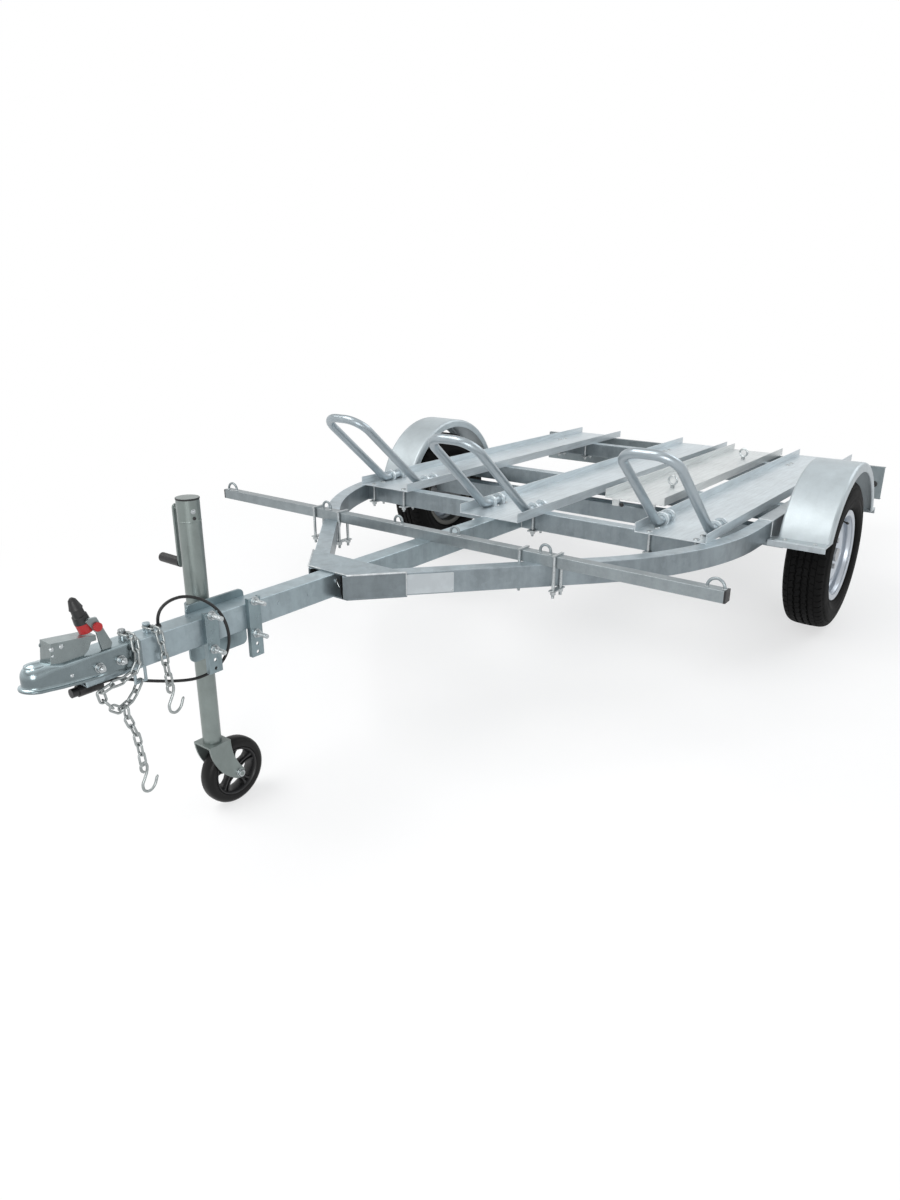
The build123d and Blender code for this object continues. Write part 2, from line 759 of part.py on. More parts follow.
def coupler_body():
    """The pressed coupler: a ball dome that runs back into a channel over the drawbar."""
    wall = coupler_wall
    half = drawbar_half + wall
    top = frame_top_height + wall

    def plan(grow):
        nose = Pos(0, ball_y) * Circle(coupler_nose_radius + grow)
        middle_y = (coupler_neck_y + coupler_rear_y) / 2
        rear = Pos(0, middle_y) * Rectangle(2 * (half + grow), coupler_rear_y - coupler_neck_y)
        return make_hull((nose + rear).edges())

    low = frame_bottom
    sloped = Pos(0, ball_y, coupler_flange_height) * Rot(-coupler_flange_slope, 0, 0) * Pos(0, -ball_y, 0)
    body = Pos(0, 0, low) * extrude(plan(0), top - low)
    upper = body.faces().sort_by(Axis.Z)[-1].edges()
    body = fillet([edge for edge in upper if edge.center().Y < coupler_rear_y - fit_gap], coupler_edge_radius)
    body += Pos(0, ball_y, ball_height) * Sphere(coupler_nose_radius - fit_gap)
    flange = sloped * extrude(plan(coupler_flange_width), coupler_flange_thickness)
    flange -= block(both_ways(2 * half), (coupler_bolt_ys[0], 0), (0, top))
    body += flange
    inner = Pos(0, 0, low - cut_overrun * 2) * extrude(plan(-wall), frame_top_height - low + cut_overrun * 2)
    inner += block(both_ways(drawbar_half), (drawbar_front_y, coupler_rear_y + cut_overrun),
                   (low - 2 * cut_overrun, frame_top_height))
    body -= inner
    body -= Pos(0, ball_y, ball_height) * Sphere(coupler_nose_radius - wall - fit_gap)
    body &= sloped * block(both_ways(2 * half), (2 * ball_y, 0), (0, 2 * top))
    for y in coupler_bolt_ys:
        for side in (1, -1):
            nut = Pos(y, coupler_bolt_height) * RegularPolygon(coupler_nut_radius, nut_sides)
            body += Pos(side * half, 0, 0) * extrude(around_x(nut), side * coupler_nut_height)
    return body + chain_bolt(front_chain_bolt_y, top)


def side_plate(table):
    """A face in the YZ plane from a table of the lever: back from its front, above the coupler."""
    points = [(lever_front_y + back, lever_base + rise) for back, rise in table]
    return around_x(make_face(Polyline(*points, close=True)))


def coupler_lever():
    """The folded bracket on top of the coupler, open below, and the arm behind it."""
    bracket = Pos(-lever_width / 2, 0, 0) * extrude(side_plate(lever_side_table), lever_width)
    inner_width = lever_width - 2 * lever_sheet
    front, top, rear = lever_side_table[:3]
    inner_table = ((front[0] + lever_sheet, front[1]), (top[0] + lever_sheet, top[1] - lever_sheet),
                   (rear[0], rear[1] - lever_sheet), (rear[0], rear[1] - top[1]), (front[0] + lever_sheet, -top[1]))
    bracket -= Pos(-inner_width / 2, 0, 0) * extrude(side_plate(inner_table), inner_width)
    return bracket


def coupler_arm():
    """The arm beside the grip that carries the release button."""
    return Pos(lever_arm_x, 0, 0) * extrude(side_plate(lever_arm_table), lever_arm_thickness)


def grip_place():
    """Where the grip stands: its foot's front edge is on the bracket's top strap, and it leans forward."""
    (front_back, front_rise), (rear_back, rear_rise) = lever_side_table[1:3]
    slope = (front_rise - rear_rise) / (rear_back - front_back)
    foot_radius = collar_table[0][1]
    foot_back = grip_back - foot_radius * cos(radians(grip_lean))
    rise = front_rise - slope * (foot_back - front_back) + foot_radius * sin(radians(grip_lean)) + fit_gap
    return Pos(0, lever_front_y + grip_back, lever_base + rise) * Rot(grip_lean, 0, 0)


def grip_body(table):
    """A round body about the grip's axis from a table of height and radius."""
    outline = [(0, table[0][0])] + [(radius, height) for height, radius in table] + [(0, table[-1][0])]
    return revolve(Plane.XZ * make_face(Polyline(*outline, close=True)), axis=Axis.Z)


def coupler_release():
    """The red pieces: the collar at the grip's foot and the button on the arm."""
    collar = grip_place() * grip_body(collar_table)
    x = lever_arm_x + lever_arm_thickness
    button = rod_x((x, x + button_height), lever_front_y + button_back, lever_base + button_rise, button_radius)
    return [collar, button]


def coupler_grip():
    """The stepped grip above its collar."""
    return grip_place() * Pos(0, 0, fit_gap) * grip_body(grip_table)


def jockey_outer_tube():
    """The outer tube of the jockey wheel, closed on top, with the crank's spindle through it."""
    tube = rod_z(jockey_x, jockey_y, (jockey_outer_bottom, jockey_outer_top), jockey_outer_radius)
    tube -= rod_z(jockey_x, jockey_y, (jockey_outer_bottom - cut_overrun, jockey_outer_top - jockey_outer_wall),
                  jockey_outer_radius - jockey_outer_wall)
    return tube


def jockey_crank():
    """The crank: a spindle out of the tube's side and an arm that hangs down."""
    tube_side = jockey_x - jockey_outer_radius
    arm_x = jockey_x - crank_reach
    spindle = rod_x((tube_side, arm_x - crank_arm_thickness), jockey_y, crank_height, crank_spindle_radius)
    low = crank_height - crank_arm_length
    arm = block((arm_x - crank_arm_thickness, arm_x), (jockey_y - crank_arm_width / 2,
                jockey_y + crank_arm_width / 2), (low, crank_height))
    for z in (low, crank_height):
        arm += rod_x((arm_x - crank_arm_thickness, arm_x), jockey_y, z, crank_arm_width / 2)
    spindle -= rod_z(jockey_x, jockey_y, (low, jockey_outer_top), jockey_outer_radius)
    return arm + spindle


def jockey_grip():
    """The crank's grip."""
    arm_x = jockey_x - crank_reach - crank_arm_thickness
    z = crank_height - crank_arm_length
    return rod_x((arm_x, arm_x - crank_grip_length), jockey_y, z, crank_grip_radius)


def jockey_inner_tube():
    """The tube that slides in the outer tube and stands on the fork."""
    tube = rod_z(jockey_x, jockey_y, (jockey_fork_top, jockey_inner_top), jockey_inner_radius)
    return tube - rod_z(jockey_x, jockey_y, (jockey_fork_top - cut_overrun, jockey_inner_top + cut_overrun),
                        jockey_inner_radius - jockey_inner_wall)


def jockey_fork():
    """The folded fork that swivels under the inner tube and trails the wheel."""
    top = jockey_fork_top - fit_gap
    sheet = jockey_fork_sheet
    inner_half = jockey_rim_half_width + jockey_fork_gap
    outer_half = inner_half + sheet
    half = jockey_fork_half_length
    fork = block((jockey_x - outer_half, jockey_x + outer_half), (jockey_y - half, jockey_y + half),
                 (top - sheet, top))
    front = [(-half, 0), *jockey_fork_front_table]
    rear = [(half, 0), *jockey_fork_rear_table]
    plan = make_face([ThreePointArc(*front), Line(front[2], rear[2]), ThreePointArc(*rear), Line(rear[0], front[0])])
    plan += Pos(jockey_trail, jockey_axle_height - top) * Circle(jockey_fork_tip_radius)
    plate = Pos(0, jockey_y, top) * extrude(around_x(plan), sheet)
    fork += Pos(jockey_x - outer_half, 0, 0) * plate
    fork += Pos(jockey_x + inner_half, 0, 0) * plate
    axle_half = outer_half + 2 * jockey_axle_radius
    fork += rod_x((jockey_x - axle_half, jockey_x + axle_half), jockey_axle_y, jockey_axle_height,
                  jockey_axle_radius)
    return fork


def jockey_rim():
    """The wheel body with its axle bore."""
    profile = Pos(0, (jockey_rim_radius + jockey_axle_radius + fit_gap) / 2) * Rectangle(
        2 * jockey_rim_half_width, jockey_rim_radius - jockey_axle_radius - fit_gap)
    wheel = revolve(Plane.XZ * profile, axis=Axis.X)
    return Pos(jockey_x, jockey_axle_y, jockey_axle_height) * wheel


def jockey_tyre():
    """The solid rubber tyre with rounded shoulders."""
    half = jockey_tyre_half_width
    shoulder_share = 0.7
    shoulder = half * (1 - shoulder_share)
    points = [(half, jockey_tyre_radius - shoulder), (half - shoulder, jockey_tyre_radius)]
    points += [(-x, r) for x, r in reversed(points)]
    body = many_sided(points, jockey_x, jockey_axle_y, jockey_axle_height, jockey_tyre_sides)
    return body - rod_x((jockey_x - half, jockey_x + half), jockey_axle_y, jockey_axle_height, jockey_rim_radius)


def jockey_clamp():
    """The plate on the drawbar's side and the ring that grips the outer tube."""
    x_range = (-drawbar_half - clamp_plate_thickness, -drawbar_half)
    plate = block(x_range, (jockey_y - clamp_plate_front_reach, jockey_y + clamp_plate_rear_reach),
                  (clamp_plate_bottom, clamp_plate_top))
    plate = fillet(plate.edges().filter_by(Axis.X), clamp_plate_corner)
    middle = (frame_bottom + frame_top_height) / 2
    ring_range = (middle - clamp_ring_height / 2, middle + clamp_ring_height / 2)
    grip_radius = jockey_outer_radius
    ring = rod_z(jockey_x, jockey_y, ring_range, grip_radius + clamp_ring_wall)
    saddle = block((jockey_x, x_range[0]), (jockey_y - grip_radius, jockey_y + grip_radius), ring_range)
    clamp = plate + ring + saddle
    return clamp - rod_z(jockey_x, jockey_y, (clamp_plate_bottom - cut_overrun, clamp_plate_top + cut_overrun),
                         grip_radius)


def jockey_straps():
    """Two channel straps on the drawbar's other side."""
    straps = []
    for y in clamp_bolt_ys:
        outer = block((drawbar_half, drawbar_half + strap_depth), (y - strap_width / 2, y + strap_width / 2),
                      (strap_bottom, strap_top))
        inner = block((drawbar_half - cut_overrun, drawbar_half + strap_depth - strap_sheet),
                      (y - strap_width / 2 + strap_sheet, y + strap_width / 2 - strap_sheet),
                      (strap_bottom - cut_overrun, strap_top + cut_overrun))
        strap = outer - inner
        for rise in strap_hole_rises:
            strap -= rod_x((drawbar_half, drawbar_half + strap_depth), y, strap_bottom + rise, strap_hole_radius)
        straps.append(strap)
    return straps


def jockey_clamp_bolts():
    """Four long bolts with nuts that pull the straps against the plate."""
    bolts = []
    web_x = drawbar_half + strap_depth
    for y in clamp_bolt_ys:
        for z in clamp_bolt_heights:
            bolt = rod_x((web_x, clamp_bolt_tip_x), y, z, clamp_bolt_radius)
            nut = extrude(around_x(Pos(y, z) * RegularPolygon(clamp_nut_radius, nut_sides)), clamp_nut_height)
            bolt += Pos(web_x, 0, 0) * nut
            bolts.append(bolt)
    return bolts


def link_shape():
    """A chain link along X in the XY plane, its ring drawn with eight corners."""
    half, side, cut = link_length / 2, link_width / 2, link_corner

    def ring(inset):
        long, wide = half - inset, side - inset
        corner = cut - inset * (2 - sqrt(2))
        quarter = [(long, wide - corner), (long - corner, wide)]
        upper = quarter + [(-x, y) for x, y in reversed(quarter)]
        return make_face(Polyline(*upper, *[(x, -y) for x, y in reversed(upper)], close=True))

    return extrude(ring(0) - ring(link_rod), link_rod / 2, both=True)


def bar_space(first, second):
    """How far apart two links' crossing bars keep, for the directions of the two links."""
    turn = first.get_angle(second)
    return link_rod / 2 * (1 + abs(cos(radians(turn))) + abs(sin(radians(turn)))) + link_gap


def ahead(line, start, reach):
    """The first point after start on a line of straight runs that is a given distance away."""
    for a, b in line:
        steps = ceil((b - a).length / fit_gap)
        for step in range(1, steps + 1):
            point = a + (b - a) * (step / steps)
            if (point - start).length >= reach and (b - a).dot(point - start) > 0:
                rest = [(point, b)] + line[line.index((a, b)) + 1:]
                return point, rest
    return None, []


def chain_links(bar, direction, normal, points):
    """Places of a chain's links: (centre, direction, normal), each through the one before it."""
    reach = link_length - link_rod
    corners = [Vector(*point) for point in points]
    line = list(zip(corners, corners[1:]))
    places = [(bar + direction * (reach / 2), direction, normal)]
    while True:
        last_direction, last_normal = places[-1][1:]
        end = bar + last_direction * reach
        start = end - last_direction * (link_rod + link_gap)
        target, rest = ahead(line, start, reach)
        if target is None:
            return places, end
        line = rest
        turned = (target - start).normalized()
        across_turn = turned.cross(last_normal).normalized()
        axis = last_direction.cross(turned)
        if abs(axis.dot(last_normal)) >= abs(axis.dot(across_turn)):
            bar = end - last_direction * bar_space(last_direction, turned)
        else:
            bar = end - turned * bar_space(last_direction, turned)
        places.append((bar + turned * (reach / 2), turned, across_turn))


def bolted_chain(bolt_y, face_z, points):
    """A chain whose first link lies flat round a bolt: its links' places and its end."""
    rise = link_width / 2 + link_gap
    bar = Vector(chain_bolt_x - chain_bolt_radius - chain_bolt_slack - link_rod / 2, bolt_y, face_z + rise)
    first = (points[0][0], bolt_y, face_z + rise)
    return chain_links(bar, Vector(1, 0, 0), Vector(0, 0, 1), (tuple(bar), first, *points[1:]))


def hook(end, direction, normal):
    """A bent hook of flat section that hangs from a chain's last link."""
    width = link_rod
    start = end - direction * bar_space(direction, Vector(0, 0, -1))
    path = Polyline(*[(back, rise) for back, rise in hook_table])
    body = extrude(around_x(trace(path, width)), width / 2, both=True)
    return Pos(*start) * body


def placed_links(places):
    """The links' solids at their places."""
    shape = link_shape()
    return [Plane(origin=centre, x_dir=direction, z_dir=normal).location * shape
            for centre, direction, normal in places]


def chain_places():
    """Places of the links of the front chain, of its loose end and of the rear chain."""
    front, front_end = bolted_chain(front_chain_bolt_y, lever_base - fit_gap, front_chain_line)
    branch = min(front, key=lambda place: (place[0] - Vector(*front_chain_end_line[0])).length)
    centre, direction, normal = branch
    side = normal.cross(direction)
    side = side if side.Z > 0 else -side
    rail = centre - side * ((link_width - link_rod) / 2)
    bar = rail + side * bar_space(Vector(0, 0, 1), side)
    down = Vector(0, 0, -1)
    line = ((bar.X, bar.Y, bar.Z), *front_chain_end_line[1:])
    loose, loose_end = chain_links(bar, down, direction.cross(normal).cross(down).normalized(), line)
    rear, rear_end = bolted_chain(rear_chain_bolt_y, frame_top_height, rear_chain_line)
    return (front, front_end), (loose, loose_end), (rear, rear_end)


def safety_chains():
    """Two bolted chains; the front one is looped up under the drawbar and its free end hangs down."""
    front, loose, rear = chain_places()
    solids = placed_links(front[0] + loose[0] + rear[0])
    for places, end in (loose, rear):
        solids.append(hook(end, places[-1][1], places[-1][2]))
    return solids


def chain_bolt(y, face_z):
    """A bolt that clamps a chain's first link: boss, shank and head."""
    boss_top = face_z + (link_width - link_rod) / 2
    head_low = boss_top + link_rod + 2 * link_gap
    bolt = rod_z(chain_bolt_x, y, (face_z, boss_top), chain_bolt_boss_radius)
    bolt += rod_z(chain_bolt_x, y, (boss_top, head_low), chain_bolt_radius)
    return bolt + rod_z(chain_bolt_x, y, (head_low, head_low + chain_bolt_head), chain_bolt_boss_radius)


def chain_staple():
    """The staple under the drawbar that holds the front chain's far end."""
    places, end = chain_places()[0]
    bar_z = end.Z - bar_space(Vector(0, 0, 1), places[-1][1])
    half = chain_staple_half_length
    points = ((end.Y - half, frame_bottom), (end.Y - half, bar_z), (end.Y + half, bar_z),
              (end.Y + half, frame_bottom))
    loop = extrude(around_x(trace(Polyline(*points), link_rod)), link_rod / 2, both=True)
    return Pos(end.X, 0, 0) * loop


def cable():
    """The lamp cable, a round tube of straight runs with arcs between them."""
    corners = [Vector(*point) for point in cable_route]
    radii = []
    for a, b, c in zip(corners, corners[1:], corners[2:]):
        turn = radians((b - a).get_angle(c - b))
        radii.append(cable_bend_share * min((b - a).length, (c - b).length) / tan(turn / 2))
    path = FilletPolyline(*corners, radius=radii)
    print("cable radii in diameters", [round(radius / (2 * cable_radius), 1) for radius in radii],
          "length", round(path.length, 1))
    return sweep(Plane(origin=path @ 0, z_dir=path % 0) * Circle(cable_radius), path=path)


def cable_gland():
    """The rubber gland on the drawbar's top that the cable comes out of."""
    x, y, top = cable_route[0]
    return Pos(x, y, top - gland_height) * Cone(gland_radius, gland_radius - cable_radius / 2, gland_height,
                                                align=(Align.CENTER, Align.CENTER, Align.MIN))


def plug():
    """The cable's plug: a round body with a narrower nose."""
    x, y, z = cable_route[-1]
    body = Cylinder(plug_radius, plug_length, align=(Align.CENTER, Align.CENTER, Align.MIN))
    body += Pos(0, 0, plug_length) * Cylinder(plug_nose_radius, plug_nose_length,
                                              align=(Align.CENTER, Align.CENTER, Align.MIN))
    return Pos(x, y, z) * Rot(90, 0, 0) * body


def build_nodes():
    """Every node of the level chassis, by name."""
    nodes = {"drawbar": drawbar(), "y_plate_top": y_plate_top(), "y_plate_bottom": y_plate_bottom(),
             "lamp_board": lamp_board(), "axle_beam": axle_beam(), "channel_bolts": channel_bolts(),
             "ramp": ramp(), "ramp_eye_bolts": ramp_eye_bolts(), "tie_bar": tie_bar(),
             "tie_bar_caps": tie_bar_caps(), "tie_bar_u_bolts": tie_bar_u_bolts(),
             "coupler_body": coupler_body(), "coupler_lever": coupler_lever(),
             "coupler_arm": coupler_arm(), "coupler_release": coupler_release(),
             "coupler_grip": coupler_grip(), "safety_chains": safety_chains(), "cable": cable(),
             "cable_gland": cable_gland(), "plug": plug(), "jockey_outer_tube": jockey_outer_tube(),
             "jockey_crank": jockey_crank(), "jockey_grip": jockey_grip(),
             "jockey_inner_tube": jockey_inner_tube(), "jockey_fork": jockey_fork(),
             "jockey_rim": jockey_rim(), "jockey_tyre": jockey_tyre(), "jockey_clamp": jockey_clamp(),
             "jockey_straps": jockey_straps(), "jockey_clamp_bolts": jockey_clamp_bolts()}
    for name in crossbeam_front_ys:
        nodes[f"{name}_crossbeam"] = crossbeam(name)
    for name, x, front_y in channel_table:
        nodes[f"channel_{name}"] = channel(name, x, front_y)
        nodes[f"hoop_{name}"] = hoop(x, front_y)
    sided = {"side_rail": side_rail, "side_member": side_member, "torsion_arm": torsion_arm, "hub": hub,
             "rim": rim, "tyre": tyre, "fender": fender, "fender_brackets": fender_brackets,
             "tail_lamp": tail_lamp}
    for name, make in sided.items():
        for side, sign in side_signs.items():
            nodes[f"{name}_{side}"] = make(sign)
    return nodes


def park_angle():
    """The angle about X at which both the road wheels and the jockey wheel touch the ground."""
    reach = hypot(jockey_axle_y, jockey_axle_height)
    lift = (jockey_tyre_radius - tyre_radius) / reach
    return -degrees(pi + asin(lift) + atan2(jockey_axle_height, jockey_axle_y))


def as_one(shape):
    """A single shape of a node that may be a list of separate pieces."""
    return Compound(children=list(shape)) if isinstance(shape, list) else shape


level_nodes = {name: as_one(shape) for name, shape in build_nodes().items()}
tipped = {name: Rot(park_angle(), 0, 0) * shape for name, shape in level_nodes.items()}
boxes = [shape.bounding_box() for shape in tipped.values()]
middle_y = (min(box.min.Y for box in boxes) + max(box.max.Y for box in boxes)) / 2
park_place = Pos(0, -middle_y, tyre_radius) * Rot(park_angle(), 0, 0)

if __name__ == "__main__":
    os.makedirs("parts", exist_ok=True)
    for name, shape in level_nodes.items():
        export_step(park_place * shape, f"parts/{name}.step")
    print("nodes", len(level_nodes), "park angle", round(park_angle(), 3))
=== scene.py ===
"""Looks of a motorcycle trailer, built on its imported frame."""

import math
import random

import bmesh
import bpy
import numpy as np
from mathutils import Matrix, Vector


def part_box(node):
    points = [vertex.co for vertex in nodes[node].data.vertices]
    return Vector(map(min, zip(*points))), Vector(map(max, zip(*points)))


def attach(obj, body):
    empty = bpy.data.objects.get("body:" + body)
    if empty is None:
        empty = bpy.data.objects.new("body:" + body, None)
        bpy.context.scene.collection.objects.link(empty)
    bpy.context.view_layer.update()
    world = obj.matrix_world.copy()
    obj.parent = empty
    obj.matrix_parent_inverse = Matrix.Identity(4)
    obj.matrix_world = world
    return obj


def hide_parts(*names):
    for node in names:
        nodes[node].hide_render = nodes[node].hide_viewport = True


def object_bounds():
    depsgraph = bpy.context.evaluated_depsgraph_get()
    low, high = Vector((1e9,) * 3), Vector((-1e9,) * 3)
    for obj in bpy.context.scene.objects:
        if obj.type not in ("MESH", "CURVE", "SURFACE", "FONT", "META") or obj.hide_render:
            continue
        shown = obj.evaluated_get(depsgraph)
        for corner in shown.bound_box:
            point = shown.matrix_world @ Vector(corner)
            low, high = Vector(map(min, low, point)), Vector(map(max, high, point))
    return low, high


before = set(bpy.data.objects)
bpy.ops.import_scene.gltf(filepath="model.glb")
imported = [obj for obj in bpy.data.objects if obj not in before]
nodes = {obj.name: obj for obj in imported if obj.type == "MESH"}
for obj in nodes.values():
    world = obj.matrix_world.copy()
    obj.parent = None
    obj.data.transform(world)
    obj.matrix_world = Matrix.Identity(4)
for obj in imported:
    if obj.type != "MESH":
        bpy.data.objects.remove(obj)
cad_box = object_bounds()
scene = bpy.context.scene
random.seed(7)


def middle(name):
    low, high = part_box(name)
    return (low + high) / 2


def placed(name, data):
    """A new object of some data, in the scene."""
    thing = bpy.data.objects.new(name, data)
    scene.collection.objects.link(thing)
    return thing


# The level chassis frame, in mm from the middle of the road wheels' axle, and its place at rest
wheel_x = 976
jockey_axle = Vector((-80, -2148, -353))
axle = middle("tyre_left")
axle.x = 0
reach = middle("jockey_tyre") - axle
park_angle = math.atan2(reach.z, reach.y) - math.atan2(jockey_axle.z, jockey_axle.y)
park = Matrix.Translation(axle) @ Matrix.Rotation(park_angle, 4, "X")

# Other places in that frame
tube_x, tube_y = -80, -2206                 # the jockey wheel's tubes
channel_xs = (651, 0, -651)                 # the channels' middles
beam_fronts, beam_depth = (-777, 839), 50   # the two crossbeams that carry the channels
tie_bar_y = -1333                           # the tie bar's middle
frame_z = 145                               # the middle height of the frame's tubes
sleeve_front, sleeve_rear = -1804, -1669    # the sleeve where the rails meet the drawbar

# The left side rail's straight front part: its directions along and outwards, and its inner front corner
rail_angle = math.radians(41.3)
rail_way = Vector((math.sin(rail_angle), math.cos(rail_angle), 0))
rail_out = Vector((rail_way.y, -rail_way.x, 0))
rail_foot = Vector((30.3, -1776.6, 0))


def at(x, y, z):
    """A point of the level chassis, in mm, as a point of the row frame."""
    return park @ (Vector((x, y, z)) / 1000)


def level(point):
    """A point of the row frame as a point of the level chassis, in mm."""
    return (park.inverted() @ Vector(point)) * 1000


class Tree:
    """A node tree under construction."""

    def __init__(self, owner):
        owner.use_nodes = True
        self.tree = owner.node_tree
        self.tree.nodes.clear()

    def add(self, kind, **values):
        """A new node. Names in small letters are its own settings, and the others are its inputs."""
        node = self.tree.nodes.new("ShaderNode" + kind)
        for key, value in values.items():
            if key.islower():
                setattr(node, key, value)
            else:
                node.inputs[key].default_value = value
        return node

    def join(self, source, target):
        self.tree.links.new(source, target)

    def through(self, kind, value, **values):
        """A new node that takes another node's output into its first socket."""
        node = self.add(kind, **values)
        self.join(value, node.inputs[0])
        return node

    def feed(self, socket, value):
        """Sets a number or a colour on a socket, or joins another node's output to it."""
        if isinstance(value, (int, float)):
            socket.default_value = value
        elif isinstance(value, tuple):
            socket.default_value = (*value, 1)
        else:
            self.join(value, socket)

    def math(self, operation, a, b):
        node = self.add("Math", operation=operation)
        self.feed(node.inputs[0], a)
        self.feed(node.inputs[1], b)
        return node.outputs[0]

    def weighted(self, *terms):
        """The sum of values, each with its weight."""
        total = None
        for value, weight in terms:
            part = self.math("MULTIPLY", value, weight)
            total = part if total is None else self.math("ADD", total, part)
        return total

    def part_of(self, vector, index):
        """One of a vector's three numbers."""
        return self.through("SeparateXYZ", vector).outputs[index]

    def ramp(self, value, stops):
        node = self.through("ValToRGB", value)
        bar = node.color_ramp
        while len(bar.elements) < len(stops):
            bar.elements.new(0.5)
        for element, (position, colour) in zip(bar.elements, stops):
            element.position = position
            element.color = (*colour, 1)
        return node.outputs[0]

    def mix(self, share, a, b, blend="MIX"):
        node = self.add("Mix", data_type="RGBA", blend_type=blend)
        for index, value in ((0, share), (6, a), (7, b)):
            self.feed(node.inputs[index], value)
        return node.outputs[2]

    def mix_shaders(self, share, first, second):
        node = self.add("MixShader")
        for socket, value in zip(node.inputs, (share, first.outputs[0], second.outputs[0])):
            self.join(value, socket)
        return node

    def background_share(self):
        """1 for the rays that see the pale background: camera, glossy and transmission rays."""
        rays = self.add("LightPath").outputs
        seen = self.math("MAXIMUM", rays["Is Camera Ray"], rays["Is Glossy Ray"])
        return self.math("MAXIMUM", seen, rays["Is Transmission Ray"])


class Look(Tree):
    """A node material under construction."""

    def __init__(self, name):
        self.material = bpy.data.materials.new(name)
        super().__init__(self.material)
        self.shader = self.add("BsdfPrincipled")
        self.out = self.add("OutputMaterial")
        self.join(self.shader.outputs[0], self.out.inputs[0])
        source = self.add("TexCoord")
        self.place, self.facing = source.outputs["Object"], source.outputs["Normal"]

    def stretched(self, scale):
        return self.through("Mapping", self.place, Scale=scale).outputs[0]

    def noise(self, scale, detail, rough=0.55, place=None, distortion=0.0):
        return self.through("TexNoise", place or self.place, Scale=scale, Detail=detail, Roughness=rough,
                            Distortion=distortion).outputs[0]

    def warped(self):
        """Coordinates pushed a few mm to and fro."""
        node = self.through("VectorMath", self.place, operation="ADD")
        self.join(self.grey(self.spread(self.noise(30, 2), 0, 1, -0.004, 0.004)), node.inputs[1])
        return node.outputs[0]

    def grey(self, value):
        node = self.add("CombineXYZ")
        for socket in node.inputs:
            self.join(value, socket)
        return node.outputs[0]

    def cells(self, scale, place):
        """Two random values per crystal of the coat."""
        colour = self.through("TexVoronoi", place, Scale=scale).outputs["Color"]
        return self.through("SeparateColor", colour).outputs[:2]

    def spread(self, value, low, high, to_low=0.0, to_high=1.0):
        node = self.through("MapRange", value)
        for socket, number in zip(list(node.inputs)[1:5], (low, high, to_low, to_high)):
            socket.default_value = number
        return node.outputs[0]

    def paint(self, colour):
        self.join(colour, self.shader.inputs["Base Color"])

    def rough(self, value):
        self.join(value, self.shader.inputs["Roughness"])

    def plain(self, name, value):
        """Sets a number on the shader's own socket."""
        self.shader.inputs[name].default_value = value

    def bump(self, height, strength, distance, edge=0.0):
        node = self.add("Bump", Strength=strength, Distance=distance)
        self.join(height, node.inputs["Height"])
        if edge:
            self.join(self.rounded(edge), node.inputs["Normal"])
        self.join(node.outputs[0], self.shader.inputs["Normal"])

    def rounded(self, radius):
        return self.add("Bevel", samples=4, Radius=radius).outputs[0]

    def edges(self, radius):
        """1 at outer edges of the form, 0 on its faces."""
        geometry = self.add("NewGeometry")
        dot = self.through("VectorMath", self.rounded(radius), operation="DOT_PRODUCT")
        self.join(geometry.outputs["Normal"], dot.inputs[1])
        return self.spread(dot.outputs["Value"], 0.995, 0.8)


def tinted(colour, factor):
    return tuple(min(1, c * factor) for c in colour)


def zinc(name, tone, contrast, crystal=60, metallic=0.6, roughs=(0.26, 0.44), streak=0.35, cloud=7,
         edge=0.0012, edge_wear_and_highlight=0.35, bump=0.1, crystal_share=0.12, runs=(26, 26, 5), side=1.0,
         corner=0.0022, painted_inner_shade=0):
    """A zinc coat: faint crystals, clouds and runs in its colour and gloss, a painted highlight along its
    edges that also stands for edge wear, and painted shade on its upright faces.

    edge is the radius that rounds its shading, corner the width of the painted edge highlight, and side the
    share of its colour left on upright faces by the painted shade. Nearer to the trailer's middle plane
    than the distance in its last argument, in m, its colour turns near-black: painted shade on inner sides.
    """
    look = Look(name)
    first, second = look.cells(crystal, look.warped())
    clouds = look.noise(cloud, 5, 0.6, distortion=0.4)
    streaks = look.noise(1, 4, 0.6, look.stretched(runs))
    fine = look.noise(190, 3, 0.6)
    cloud_share, fine_share = 0.42, 0.06
    tones = look.weighted((first, crystal_share), (look.spread(clouds, 0.28, 0.72), cloud_share),
                          (look.spread(streaks, 0.28, 0.72), streak), (look.spread(fine, 0.3, 0.7), fine_share))
    tones = look.math("DIVIDE", tones, crystal_share + (cloud_share + fine_share) + streak)
    light = tinted(tone, 1 + contrast * 0.9)
    colour = look.ramp(tones, ((0.25, tinted(tone, 1 - contrast)), (0.5, tone), (0.75, light)))
    # Painted highlight along the rounded edges, paler than the coat, which also stands for worn zinc there
    wear_and_highlight = look.math("MULTIPLY", look.edges(corner), edge_wear_and_highlight)
    colour = look.mix(wear_and_highlight, colour, tinted(light, 1.6))
    # Painted shade: upright faces keep only side of the colour, as if less lit than the tops
    if side != 1:
        shade = look.spread(look.part_of(look.facing, 2), 0.1, 0.8, side, 1.0)
        colour = look.mix(1.0, colour, look.grey(shade), "MULTIPLY")
    # Painted shade: the colour turns near-black nearer than this distance to the middle plane, as on the
    # wheels' inner sides
    if painted_inner_shade:
        away = look.math("ABSOLUTE", look.part_of(look.place, 0), 0.0)
        colour = look.mix(look.spread(away, painted_inner_shade - 0.03, painted_inner_shade), (0.07, 0.07, 0.062), colour)
    look.paint(colour)
    look.rough(look.spread(look.weighted((second, 0.3), (clouds, 0.7)), 0.15, 0.8, *roughs))
    look.plain("Metallic", metallic)
    look.bump(look.weighted((fine, 0.4), (clouds, 0.6)), bump, 0.002, edge)
    return look.material


